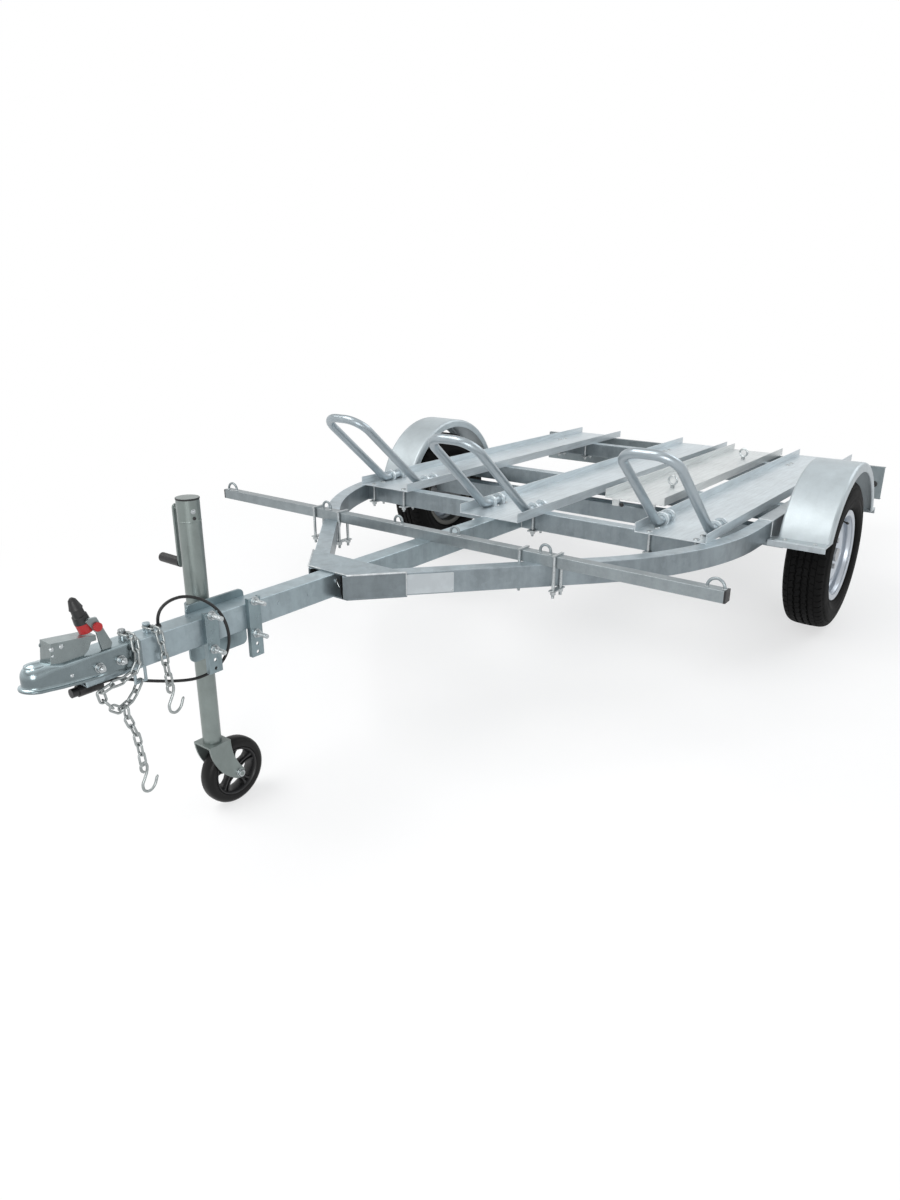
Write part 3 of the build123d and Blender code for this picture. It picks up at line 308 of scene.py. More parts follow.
def plated(name, colour, roughs, metallic=0.85, grain=(240, 240, 240)):
    """Bright plating on small parts: fine haze and handling marks."""
    look = Look(name)
    haze = look.noise(1, 4, 0.6, look.stretched(grain))
    tone = look.weighted((haze, 0.5), (look.noise(35, 3), 0.5))
    look.paint(look.ramp(tone, ((0.3, tinted(colour, 0.66)), (0.52, colour), (0.72, tinted(colour, 1.25)))))
    look.rough(look.spread(haze, 0.3, 0.7, *roughs))
    look.plain("Metallic", metallic)
    look.bump(haze, 0.08, 0.001, 0.0006)
    return look.material


def rubber(name, tone, roughs, dust, scale=160, specular=0.4):
    """Black rubber with a grey bloom."""
    look = Look(name)
    grain = look.noise(scale, 4, 0.6)
    bloom = look.noise(9, 4, 0.6)
    share = look.weighted((look.spread(bloom, 0.42, 0.72), dust), (look.spread(grain, 0.45, 0.75), 0.12))
    look.paint(look.mix(share, tinted((1, 1, 1.02), tone), tinted((2.2, 2.15, 2.05), tone)))
    look.rough(look.spread(bloom, 0.3, 0.7, *roughs))
    look.plain("Specular IOR Level", specular)
    look.bump(grain, 0.2, 0.0008)
    return look.material


def plastic(name, colour, roughs, grain=420, strength=0.12):
    """Moulded plastic with a fine grain."""
    look = Look(name)
    fine = look.noise(grain, 2)
    wear = look.noise(22, 4)
    wear_and_highlight = tuple(min(1, c * 1.5 + 0.012) for c in colour)
    look.paint(look.mix(look.math("MULTIPLY", look.spread(wear, 0.45, 0.75), 0.35), colour, wear_and_highlight))
    look.rough(look.spread(wear, 0.3, 0.7, *roughs))
    look.bump(fine, strength, 0.0006, 0.0006)
    return look.material


def lens(name, colour):
    """Clear coloured lens plastic over its reflector's cells."""
    look = Look(name)
    distance = look.through("TexVoronoi", look.place, Scale=150).outputs["Distance"]
    look.paint(look.mix(look.spread(distance, 0.0, 0.6), tinted(colour, 0.6), tinted(colour, 1.35)))
    look.rough(look.spread(look.noise(60, 3), 0.3, 0.7, 0.08, 0.2))
    look.plain("Coat Weight", 0.6)
    look.bump(distance, 0.25, 0.0008)
    return look.material


def dress(names, material):
    """Gives nodes of the frame their material."""
    for name in names.split():
        slots = nodes[name].data.materials
        slots.clear()
        slots.append(material)
    return material


# Materials, each with the nodes of the frame that wear it
# Most zinc coats below carry painted highlights along their edges, which also stand for wear, and several carry
# painted shade on their upright faces (side)
tube_edges = {"edge": 0.005, "corner": 0.0055}
rolled = {"crystal": 240, "metallic": 0.45, "roughs": (0.26, 0.42), "cloud": 4, "bump": 0.05}
dress("side_rail_left side_rail_right front_crossbeam middle_crossbeam rear_crossbeam axle_beam",
      zinc("frame_zinc", (0.385, 0.45, 0.485), 0.19, metallic=0.62, edge_wear_and_highlight=0.7, side=0.62, **tube_edges))
dress("drawbar",
      zinc("drawbar_zinc", (0.38, 0.46, 0.495), 0.18, metallic=0.68, roughs=(0.24, 0.42), edge_wear_and_highlight=0.7,
           side=0.78, **tube_edges))
dress("side_member_left side_member_right fender_brackets_left fender_brackets_right",
      zinc("member_zinc", (0.42, 0.465, 0.49), 0.15, edge_wear_and_highlight=0.6, **tube_edges))
dress("y_plate_top y_plate_bottom",
      zinc("plate_zinc", (0.345, 0.405, 0.435), 0.17, roughs=(0.28, 0.46), side=0.48, edge=0.002,
           corner=0.003, edge_wear_and_highlight=0.6))
dress("lamp_board", zinc("board_zinc", (0.24, 0.28, 0.295), 0.14, roughs=(0.3, 0.5), edge=0.002))
dress("jockey_clamp jockey_straps",
      zinc("clamp_zinc", (0.22, 0.28, 0.30), 0.18, metallic=0.75, roughs=(0.22, 0.4), edge=0.002))
dress("channel_left channel_middle channel_right",
      zinc("sheet_zinc", (0.60, 0.66, 0.69), 0.14, streak=0.5, runs=(110, 2.2, 110), crystal_share=0.08,
           **rolled))
dress("ramp",
      zinc("ramp_zinc", (0.66, 0.69, 0.69), 0.14, streak=0.6, runs=(130, 2.2, 130), crystal_share=0.06,
           **rolled))
fender_coat = dress("fender_left fender_right",
                    zinc("fender_coat", (0.475, 0.53, 0.555), 0.11, 36, 0.45, (0.36, 0.46), streak=0.1,
                         cloud=4.5, bump=0.02, crystal_share=0.04, edge=0.0025))
dress("hoop_left hoop_middle hoop_right",
      zinc("tube_zinc", (0.37, 0.42, 0.45), 0.06, 210, 0.75, (0.3, 0.38), streak=0.2, cloud=14,
           bump=0.006, crystal_share=0.04, edge_wear_and_highlight=0.1))
jockey_zinc = dress("jockey_outer_tube jockey_inner_tube jockey_fork jockey_crank",
                    zinc("jockey_zinc", (0.22, 0.255, 0.245), 0.12, 230, 0.65, (0.26, 0.38), streak=0.3,
                         cloud=12, bump=0.02, crystal_share=0.04, edge=0.002))
coupler_coat = dress("coupler_body",
                     zinc("coupler_coat", (0.42, 0.51, 0.54), 0.1, 60, 0.9, (0.2, 0.3), streak=0.15,
                          cloud=16, bump=0.012, crystal_share=0.03, edge=0, edge_wear_and_highlight=0.4, side=0.42))
dress("coupler_lever coupler_arm",
      zinc("lever_coat", (0.33, 0.38, 0.385), 0.14, 60, 0.8, (0.22, 0.36), streak=0.15, cloud=20,
           bump=0.015, crystal_share=0.04, edge_wear_and_highlight=0.6, edge=0.0015, side=0.62))
dress("tie_bar",
      zinc("bar_zinc", (0.27, 0.305, 0.32), 0.14, 140, 0.62, cloud=10, bump=0.05, edge=0.003,
           corner=0.004, edge_wear_and_highlight=0.5))
dress("torsion_arm_left torsion_arm_right",
      zinc("arm_coat", (0.15, 0.16, 0.165), 0.2, 90, 0.4, (0.45, 0.65)))
# The rims' silver is darkened towards the trailer's middle plane: painted shade on their inner sides
silver_paint = dress("rim_left rim_right",
                     zinc("silver_paint", (0.55, 0.59, 0.64), 0.05, 300, 0.55, (0.26, 0.36), streak=0.05,
                          cloud=5, bump=0.01, crystal_share=0.03, painted_inner_shade=0.975))
dress("hub_left hub_right", plated("hub_coat", (0.42, 0.43, 0.44), (0.3, 0.5), 0.7))
bolt_zinc = dress("channel_bolts tie_bar_u_bolts ramp_eye_bolts jockey_clamp_bolts",
                  plated("bolt_zinc", (0.46, 0.49, 0.50), (0.24, 0.42)))
chain_zinc = dress("safety_chains", plated("chain_zinc", (0.34, 0.365, 0.365), (0.26, 0.42)))
weld_metal = plated("weld_metal", (0.58, 0.61, 0.62), (0.35, 0.55), 0.5, (90, 90, 90))
tyre_rubber = dress("tyre_left tyre_right", rubber("tyre_rubber", 0.0032, (0.64, 0.82), 0.1, specular=0.12))
jockey_rubber = dress("jockey_tyre", rubber("jockey_rubber", 0.0035, (0.3, 0.5), 0.2, specular=0.22))
cable_rubber = dress("cable", rubber("cable_rubber", 0.009, (0.36, 0.55), 0.15, 400))
black_plastic = dress("coupler_grip jockey_grip cable_gland plug jockey_rim",
                      plastic("black_plastic", (0.008, 0.008, 0.009), (0.32, 0.5)))
dress("coupler_release", plastic("red_plastic", (0.42, 0.018, 0.02), (0.3, 0.45)))
cap_plastic = dress("tie_bar_caps", plastic("cap_plastic", (0.009, 0.0095, 0.011), (0.42, 0.6)))
plate_foil = plastic("plate_foil", (0.50, 0.54, 0.56), (0.3, 0.45), 90, 0.04)
red_lens = dress("tail_lamp_left tail_lamp_right", lens("red_lens", (0.55, 0.012, 0.012)))
amber_lens = lens("amber_lens", (0.75, 0.22, 0.015))
clear_lens = lens("clear_lens", (0.6, 0.6, 0.6))


class Build:
    """Faces gathered in chassis mm that become one piece."""

    def __init__(self):
        self.points, self.faces = [], []

    def grid(self, rows, wrap_rows=False, wrap_columns=False):
        base, count, width = len(self.points), len(rows), len(rows[0])
        for row in rows:
            self.points += [Vector(p) for p in row]
        for i in range(count if wrap_rows else count - 1):
            k = (i + 1) % count
            for j in range(width if wrap_columns else width - 1):
                m = (j + 1) % width
                self.faces.append((base + i * width + j, base + i * width + m,
                                   base + k * width + m, base + k * width + j))

    def cap(self, ring, flip=False):
        base = len(self.points)
        self.points += [Vector(p) for p in ring]
        face = tuple(range(base, base + len(ring)))
        self.faces.append(face[::-1] if flip else face)

    def loft(self, rows, closed=False):
        """A skin through rings of points, capped at both ends or closed on itself."""
        self.grid(rows, wrap_rows=closed, wrap_columns=True)
        if not closed:
            self.cap(rows[0], True)
            self.cap(rows[-1])

    def lid(self, rows):
        """A skin through rings of points, capped at the last one only."""
        self.grid(rows, wrap_columns=True)
        self.cap(rows[-1])

    def turned(self, origin, axis, profile, sides=24, closed=False, shape=None):
        """A body turned about an axis: profile rows are (along, radius), and shape may bend its outline."""
        origin, (u, v, w) = Vector(origin), basis(axis)
        rows = []
        for along, radius in profile:
            row = []
            for i in range(sides):
                a = 2 * math.pi * i / sides
                r = shape(a, radius) if shape else radius
                row.append(origin + w * along + u * (r * math.cos(a)) + v * (r * math.sin(a)))
            rows.append(row)
        self.loft(rows, closed)

    def tube(self, line, radius, sides=12, closed=False, up=None):
        """A round rod along a line of points; radius may be a list."""
        line = [Vector(p) for p in line]
        count = len(line)
        radii = radius if isinstance(radius, list) else [radius] * count
        side = up
        rows = []
        for i, p in enumerate(line):
            before = line[i - 1] if (i or closed) else p
            after = line[(i + 1) % count] if (i < count - 1 or closed) else p
            d = (after - before).normalized()
            if side is None:
                side = basis(d)[0]
            side = (side - d * side.dot(d)).normalized()
            other = d.cross(side)
            rows.append([p + (side * math.cos(2 * math.pi * j / sides)
                              + other * math.sin(2 * math.pi * j / sides)) * radii[i] for j in range(sides)])
        self.loft(rows, closed)

    def box(self, low, high, bevel):
        """A block with bevelled edges."""
        low, high = Vector(low), Vector(high)
        centre, half = (low + high) / 2, (high - low) / 2
        bm = bmesh.new()
        bmesh.ops.create_cube(bm, size=2)
        for v in bm.verts:
            v.co = v.co * half + centre
        bmesh.ops.bevel(bm, geom=list(bm.edges), offset=bevel, segments=2, affect="EDGES")
        bm.verts.ensure_lookup_table()
        base = len(self.points)
        self.points += [v.co.copy() for v in bm.verts]
        self.faces += [tuple(base + v.index for v in f.verts) for f in bm.faces]
        bm.free()

    def piece(self, name, material, slot, body="chassis", replaces=(), sharp=38, merge=False):
        mesh = bpy.data.meshes.new(name)
        mesh.from_pydata([tuple(at(*p)) for p in self.points], [], self.faces)
        bm = bmesh.new()
        bm.from_mesh(mesh)
        if merge:
            bmesh.ops.remove_doubles(bm, verts=bm.verts, dist=1e-5)
        bmesh.ops.recalc_face_normals(bm, faces=bm.faces)
        bm.to_mesh(mesh)
        bm.free()
        mesh.shade_smooth()
        mesh.set_sharp_from_angle(angle=math.radians(sharp))
        mesh.materials.append(material)
        obj = placed(name, mesh)
        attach(obj, body)
        if replaces:
            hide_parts(*replaces)


def basis(axis):
    """Two directions across an axis, and the axis."""
    w = Vector(axis).normalized()
    u = w.cross(Vector((0, 0, 1)))
    if u.length < 1e-3:
        u = Vector((1, 0, 0))
    u.normalize()
    return u, w.cross(u), w


def hexagon(across):
    """Radius of a six-sided outline at an angle, for a size across its flats."""
    half = across / 2

    def shape(a, radius):
        turn = (a % (math.pi / 3)) - math.pi / 6
        return min(half / math.cos(turn), radius)
    return shape


def nut(build, origin, axis, across, height, bore=0):
    far, near = across * 0.6, across * 0.515
    build.turned(origin, axis, [(0, near), (height * 0.16, far), (height * 0.84, far), (height, near),
                                (height, bore or near * 0.62)], 36, shape=hexagon(across))


def thread(build, origin, axis, radius, length, pitch=1.5):
    rows, along = [], 0
    while along < length - pitch:
        rows += [(along, radius), (along + pitch / 2, radius * 0.86)]
        along += pitch
    rows += [(length - pitch * 0.5, radius * 0.96), (length, radius * 0.7)]
    build.turned(origin, axis, rows, 16)


def washer(build, origin, axis, radius, inner, thick=1.6):
    build.turned(origin, axis, [(0, inner), (0, radius - 0.4), (0.4, radius), (thick - 0.4, radius),
                                (thick, radius - 0.4), (thick, inner)], 28, closed=True)


def dome(build, origin, axis, radius, height):
    build.turned(origin, axis, [(0, radius), (height * 0.3, radius * 0.97), (height * 0.62, radius * 0.82),
                                (height * 0.88, radius * 0.5), (height, radius * 0.16)], 24)


def bolt_end(build, x, y, foot, radius, thread_top, length):
    """The washer, nut and thread below a bolted tube; foot is the washer's lower face."""
    washer(build, (x, y, foot), (0, 0, 1), radius, 5)
    nut(build, (x, y, foot - 0.2), (0, 0, -1), 17, 8, 5)
    thread(build, (x, y, thread_top), (0, 0, -1), 5.1, length)


def weld(build, line, size, step=2.2):
    """A rippled bead along a line of points."""
    points = [Vector(p) for p in line]
    path = []
    for a, b in zip(points, points[1:]):
        count = max(2, int((b - a).length / step))
        path += [a.lerp(b, i / count) for i in range(count)]
    path.append(points[-1])
    radii = [size * (0.86 + 0.2 * (i % 2) + random.uniform(-0.07, 0.07)) for i in range(len(path))]
    radii[0] = radii[-1] = size * 0.5
    build.tube(path, radii, 8)


def smooth_line(points):
    """A smooth line through points, in six steps from each to the next."""
    pts = [Vector(p) for p in points]
    out = []
    for i in range(len(pts) - 1):
        p1, p2 = pts[i], pts[i + 1]
        p0 = pts[i - 1] if i else p1 * 2 - p2
        p3 = pts[i + 2] if i + 2 < len(pts) else p2 * 2 - p1
        for k in range(6):
            t = k / 6
            out.append(0.5 * ((2 * p1) + (p2 - p0) * t + (2 * p0 - 5 * p1 + 4 * p2 - p3) * t * t
                              + (3 * p1 - p0 - 3 * p2 + p3) * t ** 3))
    out.append(pts[-1])
    return out


# Camera, as solved from the photo: its place and turns, and its focal length and middle in the photo's pixels
photo_width, photo_height = 900, 1200
focal_length, middle_x = 836.6, 453.8
eye = at(1727.86, -3477.03, 942.38)
yaw, pitch, roll = math.radians(36.88), math.radians(19.64), math.radians(0.33)
ahead = Vector((-math.sin(yaw) * math.cos(pitch), math.cos(yaw) * math.cos(pitch), -math.sin(pitch)))
right = Vector((math.cos(yaw), math.sin(yaw), 0))
upward = right.cross(ahead)
turn = park.to_3x3()
tilted_right = turn @ (right * math.cos(roll) + upward * math.sin(roll))
tilted_up = turn @ (upward * math.cos(roll) - right * math.sin(roll))
camera_data = bpy.data.cameras.new("camera")
camera = placed("camera", camera_data)
facing = Matrix((tilted_right, tilted_up, -(turn @ ahead))).transposed().to_4x4()
camera.matrix_world = Matrix.Translation(eye) @ facing
camera_data.sensor_width = 36
camera_data.lens = focal_length / photo_height * camera_data.sensor_width
camera_data.shift_x = -(middle_x - photo_width / 2) / photo_height
camera_data.clip_end = 200
scene.camera = camera


# Lamp cable
cable_route = ((-14, -2374, 187), (-14, -2374, 205), (-11, -2362, 228), (-4, -2338, 243), (6, -2304, 246),
               (22, -2264, 230), (42, -2234, 198), (54, -2220, 154), (54, -2216, 106), (36, -2220, 58),
               (14, -2240, 22), (0, -2286, 10), (-4, -2340, 22), (-4, -2400, 44), (0, -2460, 70),
               (0, -2512, 96.7), (0, -2550, 96.7))
cable_curve = bpy.data.curves.new("lamp_cable", "CURVE")
cable_curve.dimensions = "3D"
cable_curve.bevel_depth = 0.004
cable_curve.bevel_resolution = 5
cable_curve.use_fill_caps = True
cable_curve.resolution_u = 12
run = cable_curve.splines.new("NURBS")
run.points.add(len(cable_route) - 1)
for point, place in zip(run.points, cable_route):
    point.co = (*at(*place), 1)
run.order_u = 3
run.use_endpoint_u = True
cable_curve.materials.append(cable_rubber)
lamp_cable = placed("lamp_cable", cable_curve)
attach(lamp_cable, "chassis")
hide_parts("cable")


# Road tyres: each surface, its depth, and its points (across, radius) from the middle to the bead
tyre_half = [(x, radius, kind, depth) for kind, depth, points in (
    ("groove", 7, ((0, 297), (2.6, 297))),
    ("edge", 0, ((4.2, 297),)),
    ("inner", 0, ((8, 296.95), (12.5, 296.9), (17, 296.8))),
    ("edge", 0, ((20.8, 296.7),)),
    ("groove", 7, ((22.4, 296.6), (27.4, 296.4))),
    ("edge", 0, ((29, 296.3),)),
    ("outer", 0, ((33, 296.1), (38, 295.8), (43, 295.3), (46, 295.0))),
    ("slit", 2.6, ((47.2, 294.7),)),
    ("flat", 0, ((48.4, 294.4),)),
    ("shoulder", 0, ((54, 293.1), (59, 291.2), (63.5, 288.6), (67.5, 284.9), (70.4, 280.6))),
    ("flat", 0, ((72.4, 276.0), (73.7, 272.6), (74.0, 270.6))),
    ("serrated", 0, ((75.6, 269.6), (76.9, 263.5))),
    ("flat", 0, ((77.0, 262.4), (78.0, 261.2), (79.6, 254), (80.9, 246), (81.6, 239), (81.9, 236),
                 (81.2, 234.6), (81.5, 230), (81.2, 222), (81.9, 220.6), (81.5, 216), (80.0, 209),
                 (77.4, 203.6), (77.6, 201.6), (76.2, 198.4), (73.2, 194.6), (72.8, 192.2), (69, 188.4),
                 (64, 184.6), (59.2, 182.6), (58.6, 176)))) for x, radius in points]


def tyre(side, sign):
    """A road tyre: four ribs with zigzag grooves, slanted sipes, shoulder slots and ringed walls."""
    pitches, crown = 60, 297
    # share of a pitch, and the depths there of the outer ribs' sipe, the inner ribs' and the shoulder's slot
    steps = ((0.0, 0, 0, 0), (0.07, 3.2, 0, 0), (0.14, 0, 0, 0), (0.30, 0, 0, 0), (0.34, 0, 0, 3.2),
             (0.46, 0, 0, 3.2), (0.50, 0, 0, 0), (0.57, 0, 3.2, 0), (0.64, 0, 0, 0), (0.84, 0, 0, 0))
    section = [(-x, r, kind, depth) for x, r, kind, depth in reversed(tyre_half[1:])] + tyre_half
    rows = []
    for pitch_number in range(pitches):
        for number, (share, outer_sipe, inner_sipe, slot) in enumerate(steps):
            depths = {"outer": outer_sipe, "inner": inner_sipe, "shoulder": slot,
                      "serrated": 0.9 * (number % 2)}
            wave = abs(share * 2 - 1) * 2 - 1
            row = []
            for x, radius, kind, depth in section:
                away = 1 if x > 0 else -1
                zig = wave * 2.1 * (1 if abs(x) < 6 else -away) if kind in ("groove", "edge") else 0.0
                sunk = depths.get(kind, depth)
                inward = sunk * 0.6 * away if kind in ("shoulder", "serrated") and abs(x) > 66 else 0
                slant = 0.42 * min(abs(x), 60) / crown
                a = 2 * math.pi * (pitch_number + share) / pitches + slant
                r = radius - sunk
                row.append((sign * (wheel_x + (x - inward) + zig), r * math.cos(a), r * math.sin(a)))
            rows.append(row)
    build = Build()
    build.grid(rows, wrap_rows=True)
    build.piece(f"road_tyre_{side}", tyre_rubber, "road_tyre", f"wheel_{side}", [f"tyre_{side}"], 32)


def rim_lips(side, sign):
    """Rolled lip, bead seat, hump and well of a road wheel's rim, over the pressed rim."""
    inner = [(64.2, 182.4), (66.2, 182.0), (67.2, 180.2), (66.8, 178.0), (65.2, 176.2), (64.6, 173),
             (64.3, 168), (63.2, 163.4), (60.4, 160.2), (56, 158.4), (50.5, 157.5), (47, 155.9),
             (43.6, 155.9), (40.5, 157.4), (33, 158.2), (27.6, 157.8), (24.8, 154.0), (20.5, 146.6),
             (17.4, 142.8), (14, 142.2)]
    outer = [(14, 144.5), (17, 144.8), (26, 160.5), (60, 162), (62.4, 166), (62.4, 181.4)]
    lips = Build()
    for way in (1, -1):
        lips.turned((sign * wheel_x, 0, 0), (sign * way, 0, 0), inner + outer, 96, closed=True)
    lips.piece(f"rim_lips_{side}", silver_paint, "wheel_silver", f"wheel_{side}", sharp=50)


both_sides = (("left", 1), ("right", -1))
for side, sign in both_sides:
    tyre(side, sign)
    rim_lips(side, sign)
    valve = Build()
    stem = [(sign * (wheel_x + out_to), 0, z) for out_to, z in ((40, 138), (54, 137), (66, 133))]
    valve.tube(smooth_line(stem), 3.2, 10)
    valve.turned((sign * (wheel_x + 64), 0, 133.6), (sign, 0, -0.3), [(0, 4.3), (1, 4.6), (9, 4.4), (11, 3.4)],
                 12, shape=lambda a, r: r * (1 + 0.05 * math.cos(12 * a)))
    valve.piece(f"tyre_valve_{side}", black_plastic, "black_plastic", f"wheel_{side}")


# Safety chains: round links and hooks in the places of the solids
def chain_parts():
    """The corners of each link or hook, in chassis mm."""
    bm = bmesh.new()
    bm.from_mesh(nodes["safety_chains"].data)
    bmesh.ops.remove_doubles(bm, verts=bm.verts, dist=1e-6)
    left = set(bm.verts)
    parts = []
    while left:
        seed = left.pop()
        group, queue = [seed], [seed]
        while queue:
            for edge in queue.pop().link_edges:
                for v in edge.verts:
                    if v in left:
                        left.discard(v)
                        group.append(v)
                        queue.append(v)
        parts.append(np.array([level(v.co) for v in group]))
    bm.free()
    return sorted(parts, key=lambda p: tuple(np.round(p.mean(0), 1)))


links, hooks = Build(), Build()
rod, hook_rod = 3.0, 3.6
link_straight, link_bend = 9.2, 8.15
longest_link = 22           # spread of its points along its length; a hook's is more
for part in chain_parts():
    low, high = part.min(0), part.max(0)
    values, vectors = np.linalg.eigh(np.cov((part - part.mean(0)).T))
    if math.sqrt(values[2]) < longest_link:
        centre = Vector(part.mean(0))
        long_way, wide_way = Vector(vectors[:, 2]), Vector(vectors[:, 1])
        ring = []
        for i in range(28):
            a = 2 * math.pi * i / 28
            c, s = math.cos(a), math.sin(a)
            shift = link_straight if c > 0 else -link_straight
            ring.append(centre + long_way * (shift + link_bend * c) + wide_way * (link_bend * s))
        links.tube(ring, rod, 10, closed=True, up=long_way.cross(wide_way))
    else:
        eye_middle = Vector(((low[0] + high[0]) / 2, high[1] - 36.5, high[2] - 1.4))
        line = ((-1, -25), (-7, -19), (-8, -8), (-3, -0.5), (5, -2), (9, -12), (6, -28), (-2, -44), (-9, -58),
                (-6, -75), (8, -82), (23, -73), (31, -56), (34.5, -49))
        path = smooth_line([eye_middle + Vector((0, back, rise)) for back, rise in line])
        hooks.tube(path, [hook_rod] * (len(path) - 4) + [3.2, 2.8, 2.2, 1.3])
links.piece("chain_links", chain_zinc, "plated_steel", replaces=["safety_chains"])
hooks.piece("chain_hooks", chain_zinc, "plated_steel")


# Fasteners: the channels' bolts, the tie bar's clamps, and the fenders' bolts with their rolled edges
bolts = Build()
for x in channel_xs:
    for beam_y in beam_fronts:
        for offset in (-85, 85):
            for y in (beam_y - 5.3, beam_y + beam_depth + 5.3):
                dome(bolts, (x + offset, y, 184), (0, 0, 1), 11, 5)
                bolt_end(bolts, x + offset, y, 103.4, 11, 96, 10)
bolts.piece("channel_fasteners", bolt_zinc, "plated_steel")

clamps = Build()
for sign in (1, -1):
    for x in (390.9, 515.7):
        clamps.box((sign * x - 11, tie_bar_y - 34, 106), (sign * x + 11, tie_bar_y + 34, 110.6), 1.2)
        for y in (tie_bar_y - 22.5, tie_bar_y + 22.5):
            bolt_end(clamps, sign * x, y, 104.6, 10, 97, 13)
clamps.piece("tie_bar_clamps", bolt_zinc, "plated_steel")

fender_foot, fender_radius, fender_inside, fold_radius = 122, 370, 336, 336.5
foot_y = math.sqrt(fender_radius ** 2 - fender_foot ** 2)
low_angle = math.asin(fender_foot / fender_inside)
for side, sign in both_sides:
    build = Build()
    for y in (foot_y + 24, -foot_y - 24):
        for x in (wheel_x - 58, wheel_x + 48):
            dome(build, (sign * x, y, 125), (0, 0, 1), 9, 4.5)
            nut(build, (sign * x, y, 118), (0, 0, -1), 13, 6, 4)
            thread(build, (sign * x, y, 113), (0, 0, -1), 3.9, 12, 1.25)
    build.piece(f"fender_bolts_{side}", bolt_zinc, "plated_steel")
    rim_bead = Build()
    arc = []
    for i in range(49):
        a = low_angle + (math.pi - 2 * low_angle) * i / 48
        arc.append((sign * (wheel_x + 89.6), fold_radius * math.cos(a), fold_radius * math.sin(a)))
    rim_bead.tube(arc, 3.2, 10)
    rim_bead.tube([(sign * (2 * wheel_x) - x, y, z) for x, y, z in arc], 3.2, 10)
    rim_bead.piece(f"fender_edge_{side}", fender_coat, "fender_zinc")


# Weld beads: the feet of the tie bar's half rings, the sleeve, and the joints of the tubes
welds = Build()
rail_middle = rail_foot + rail_out * 25
member_in, member_out, member_front, seam_x = 808, 858, -349, 805
side_low, side_high, on_top = 113, 179, 181
for sign in (1, -1):
    for x, width in ((122.2, 42), (470.3, 46), (1007, 58)):
        for foot in (-1, 1):
            foot_x = sign * x + foot * (width / 2 - 4.5)
            ring = [(foot_x + 5.4 * math.cos(a), tie_bar_y + 5.4 * math.sin(a), 216.4)
                    for a in (2 * math.pi * k / 14 for k in range(15))]
            weld(welds, ring, 1.6, 1.8)
    corner = rail_middle + rail_out * 29
    front, rear = (corner + rail_way * ((y - corner.y) / rail_way.y) for y in (sleeve_front, sleeve_rear))
    outer = rail_middle + rail_out * 25.6
    finish = outer + rail_way * ((sleeve_rear - outer.y) / rail_way.y)
    edge_way = rail_out * 0.5 + Vector((0, 0, 184.6))
    # start, end, size and, where it isn't the usual one, step of each bead
    for start, end, *size in (
            ((30.6, sleeve_front + 2, 185), (front.x + 3, sleeve_front + 2, 185), 2.2),
            ((rear.x, rear.y, 181.4), (0.5, sleeve_rear, 181.4), 2.4),
            (front + edge_way, rear + edge_way, 3.0, 3.4),
            ((finish.x + 2, finish.y, side_low), (finish.x + 2, finish.y, side_high), 2.4),
            *[((seam_x, y, side_low), (seam_x, y, side_high), 2.4) for y in (-62, -12, 839, 889)],
            *[((seam_x, y, on_top), (seam_x, y + 50, on_top), 2.4) for y in (-62, 839)],
            ((member_in, member_front, 182), (member_out, member_front, 182), 2.4),
            ((member_out + 0.6, member_front, on_top), (member_out + 0.6, member_front, 112), 2.4),
            ((member_in - 0.6, member_front, on_top), (member_in - 0.6, member_front, 112), 2.4),
            ((31, -777.6, side_high), (31, -777.6, side_low), 2.2)):
        weld(welds, [(sign * x, y, z) for x, y, z in (start, end)], *size)
weld(welds, [(-29, -777.4, 181.2), (29, -777.4, 181.2)], 2.4)
welds.piece("weld_beads", weld_metal, "galvanised_steel")


# Tail lamps
def rounded_outline(x_mid, z_mid, half_x, half_z, corner):
    """A rectangle with round corners."""
    points = []
    for cx, cz, start in ((1, 1, 0), (-1, 1, 90), (-1, -1, 180), (1, -1, 270)):
        for k in range(7):
            a = math.radians(start + 90 * k / 6)
            points.append((x_mid + cx * (half_x - corner) + corner * math.cos(a),
                           z_mid + cz * (half_z - corner) + corner * math.sin(a)))
    return points


def upright_ring(y, *outline):
    return [(x, y, z) for x, z in rounded_outline(*outline)]


def lens_block(build, x_mid, z_mid, half_x, half_z, y_low, y_high, ribs):
    """A lens with a rounded rim and rings of ribs on its face, ribs deep."""
    rows = [upright_ring(y, x_mid, z_mid, half_x - inset, half_z - inset, max(2, 8 - inset))
            for inset, y in ((0, y_low), (0, y_high - 5), (1.2, y_high - 1.6), (3.2, y_high))]
    for k in range(int((min(half_x, half_z) - 7) / 1.6)):
        inset = 4.4 + 1.6 * k
        rows.append(upright_ring(y_high - ribs * (k % 2), x_mid, z_mid, half_x - inset, half_z - inset,
                                 max(1.2, 7 - 1.6 * k)))
    build.lid(rows)


for side, sign in both_sides:
    mid_x, mid_z = sign * 835, 101
    housing = Build()
    housing.lid([upright_ring(y, mid_x, mid_z, 105 - inset, 50 - inset, 10 - inset * 0.5)
                 for inset, y in ((0, 1096.2), (0, 1114), (1.5, 1116), (5, 1116), (6, 1112))])
    for x in (-92, 92):
        dome(housing, (mid_x + x, 1116, mid_z), (0, 1, 0), 4, 2.5)
    housing.piece(f"lamp_housing_{side}", black_plastic, "black_plastic", replaces=[f"tail_lamp_{side}"])
    for colour, material, offset, half_x in (("amber", amber_lens, 61, 26), ("red", red_lens, 3, 31),
                                             ("clear", clear_lens, -58, 29)):
        block = Build()
        lens_block(block, mid_x + sign * offset, mid_z, half_x, 42, 1112, 1144, 1.1)
        block.piece(f"lamp_{colour}_{side}", material, "lamp_lens")


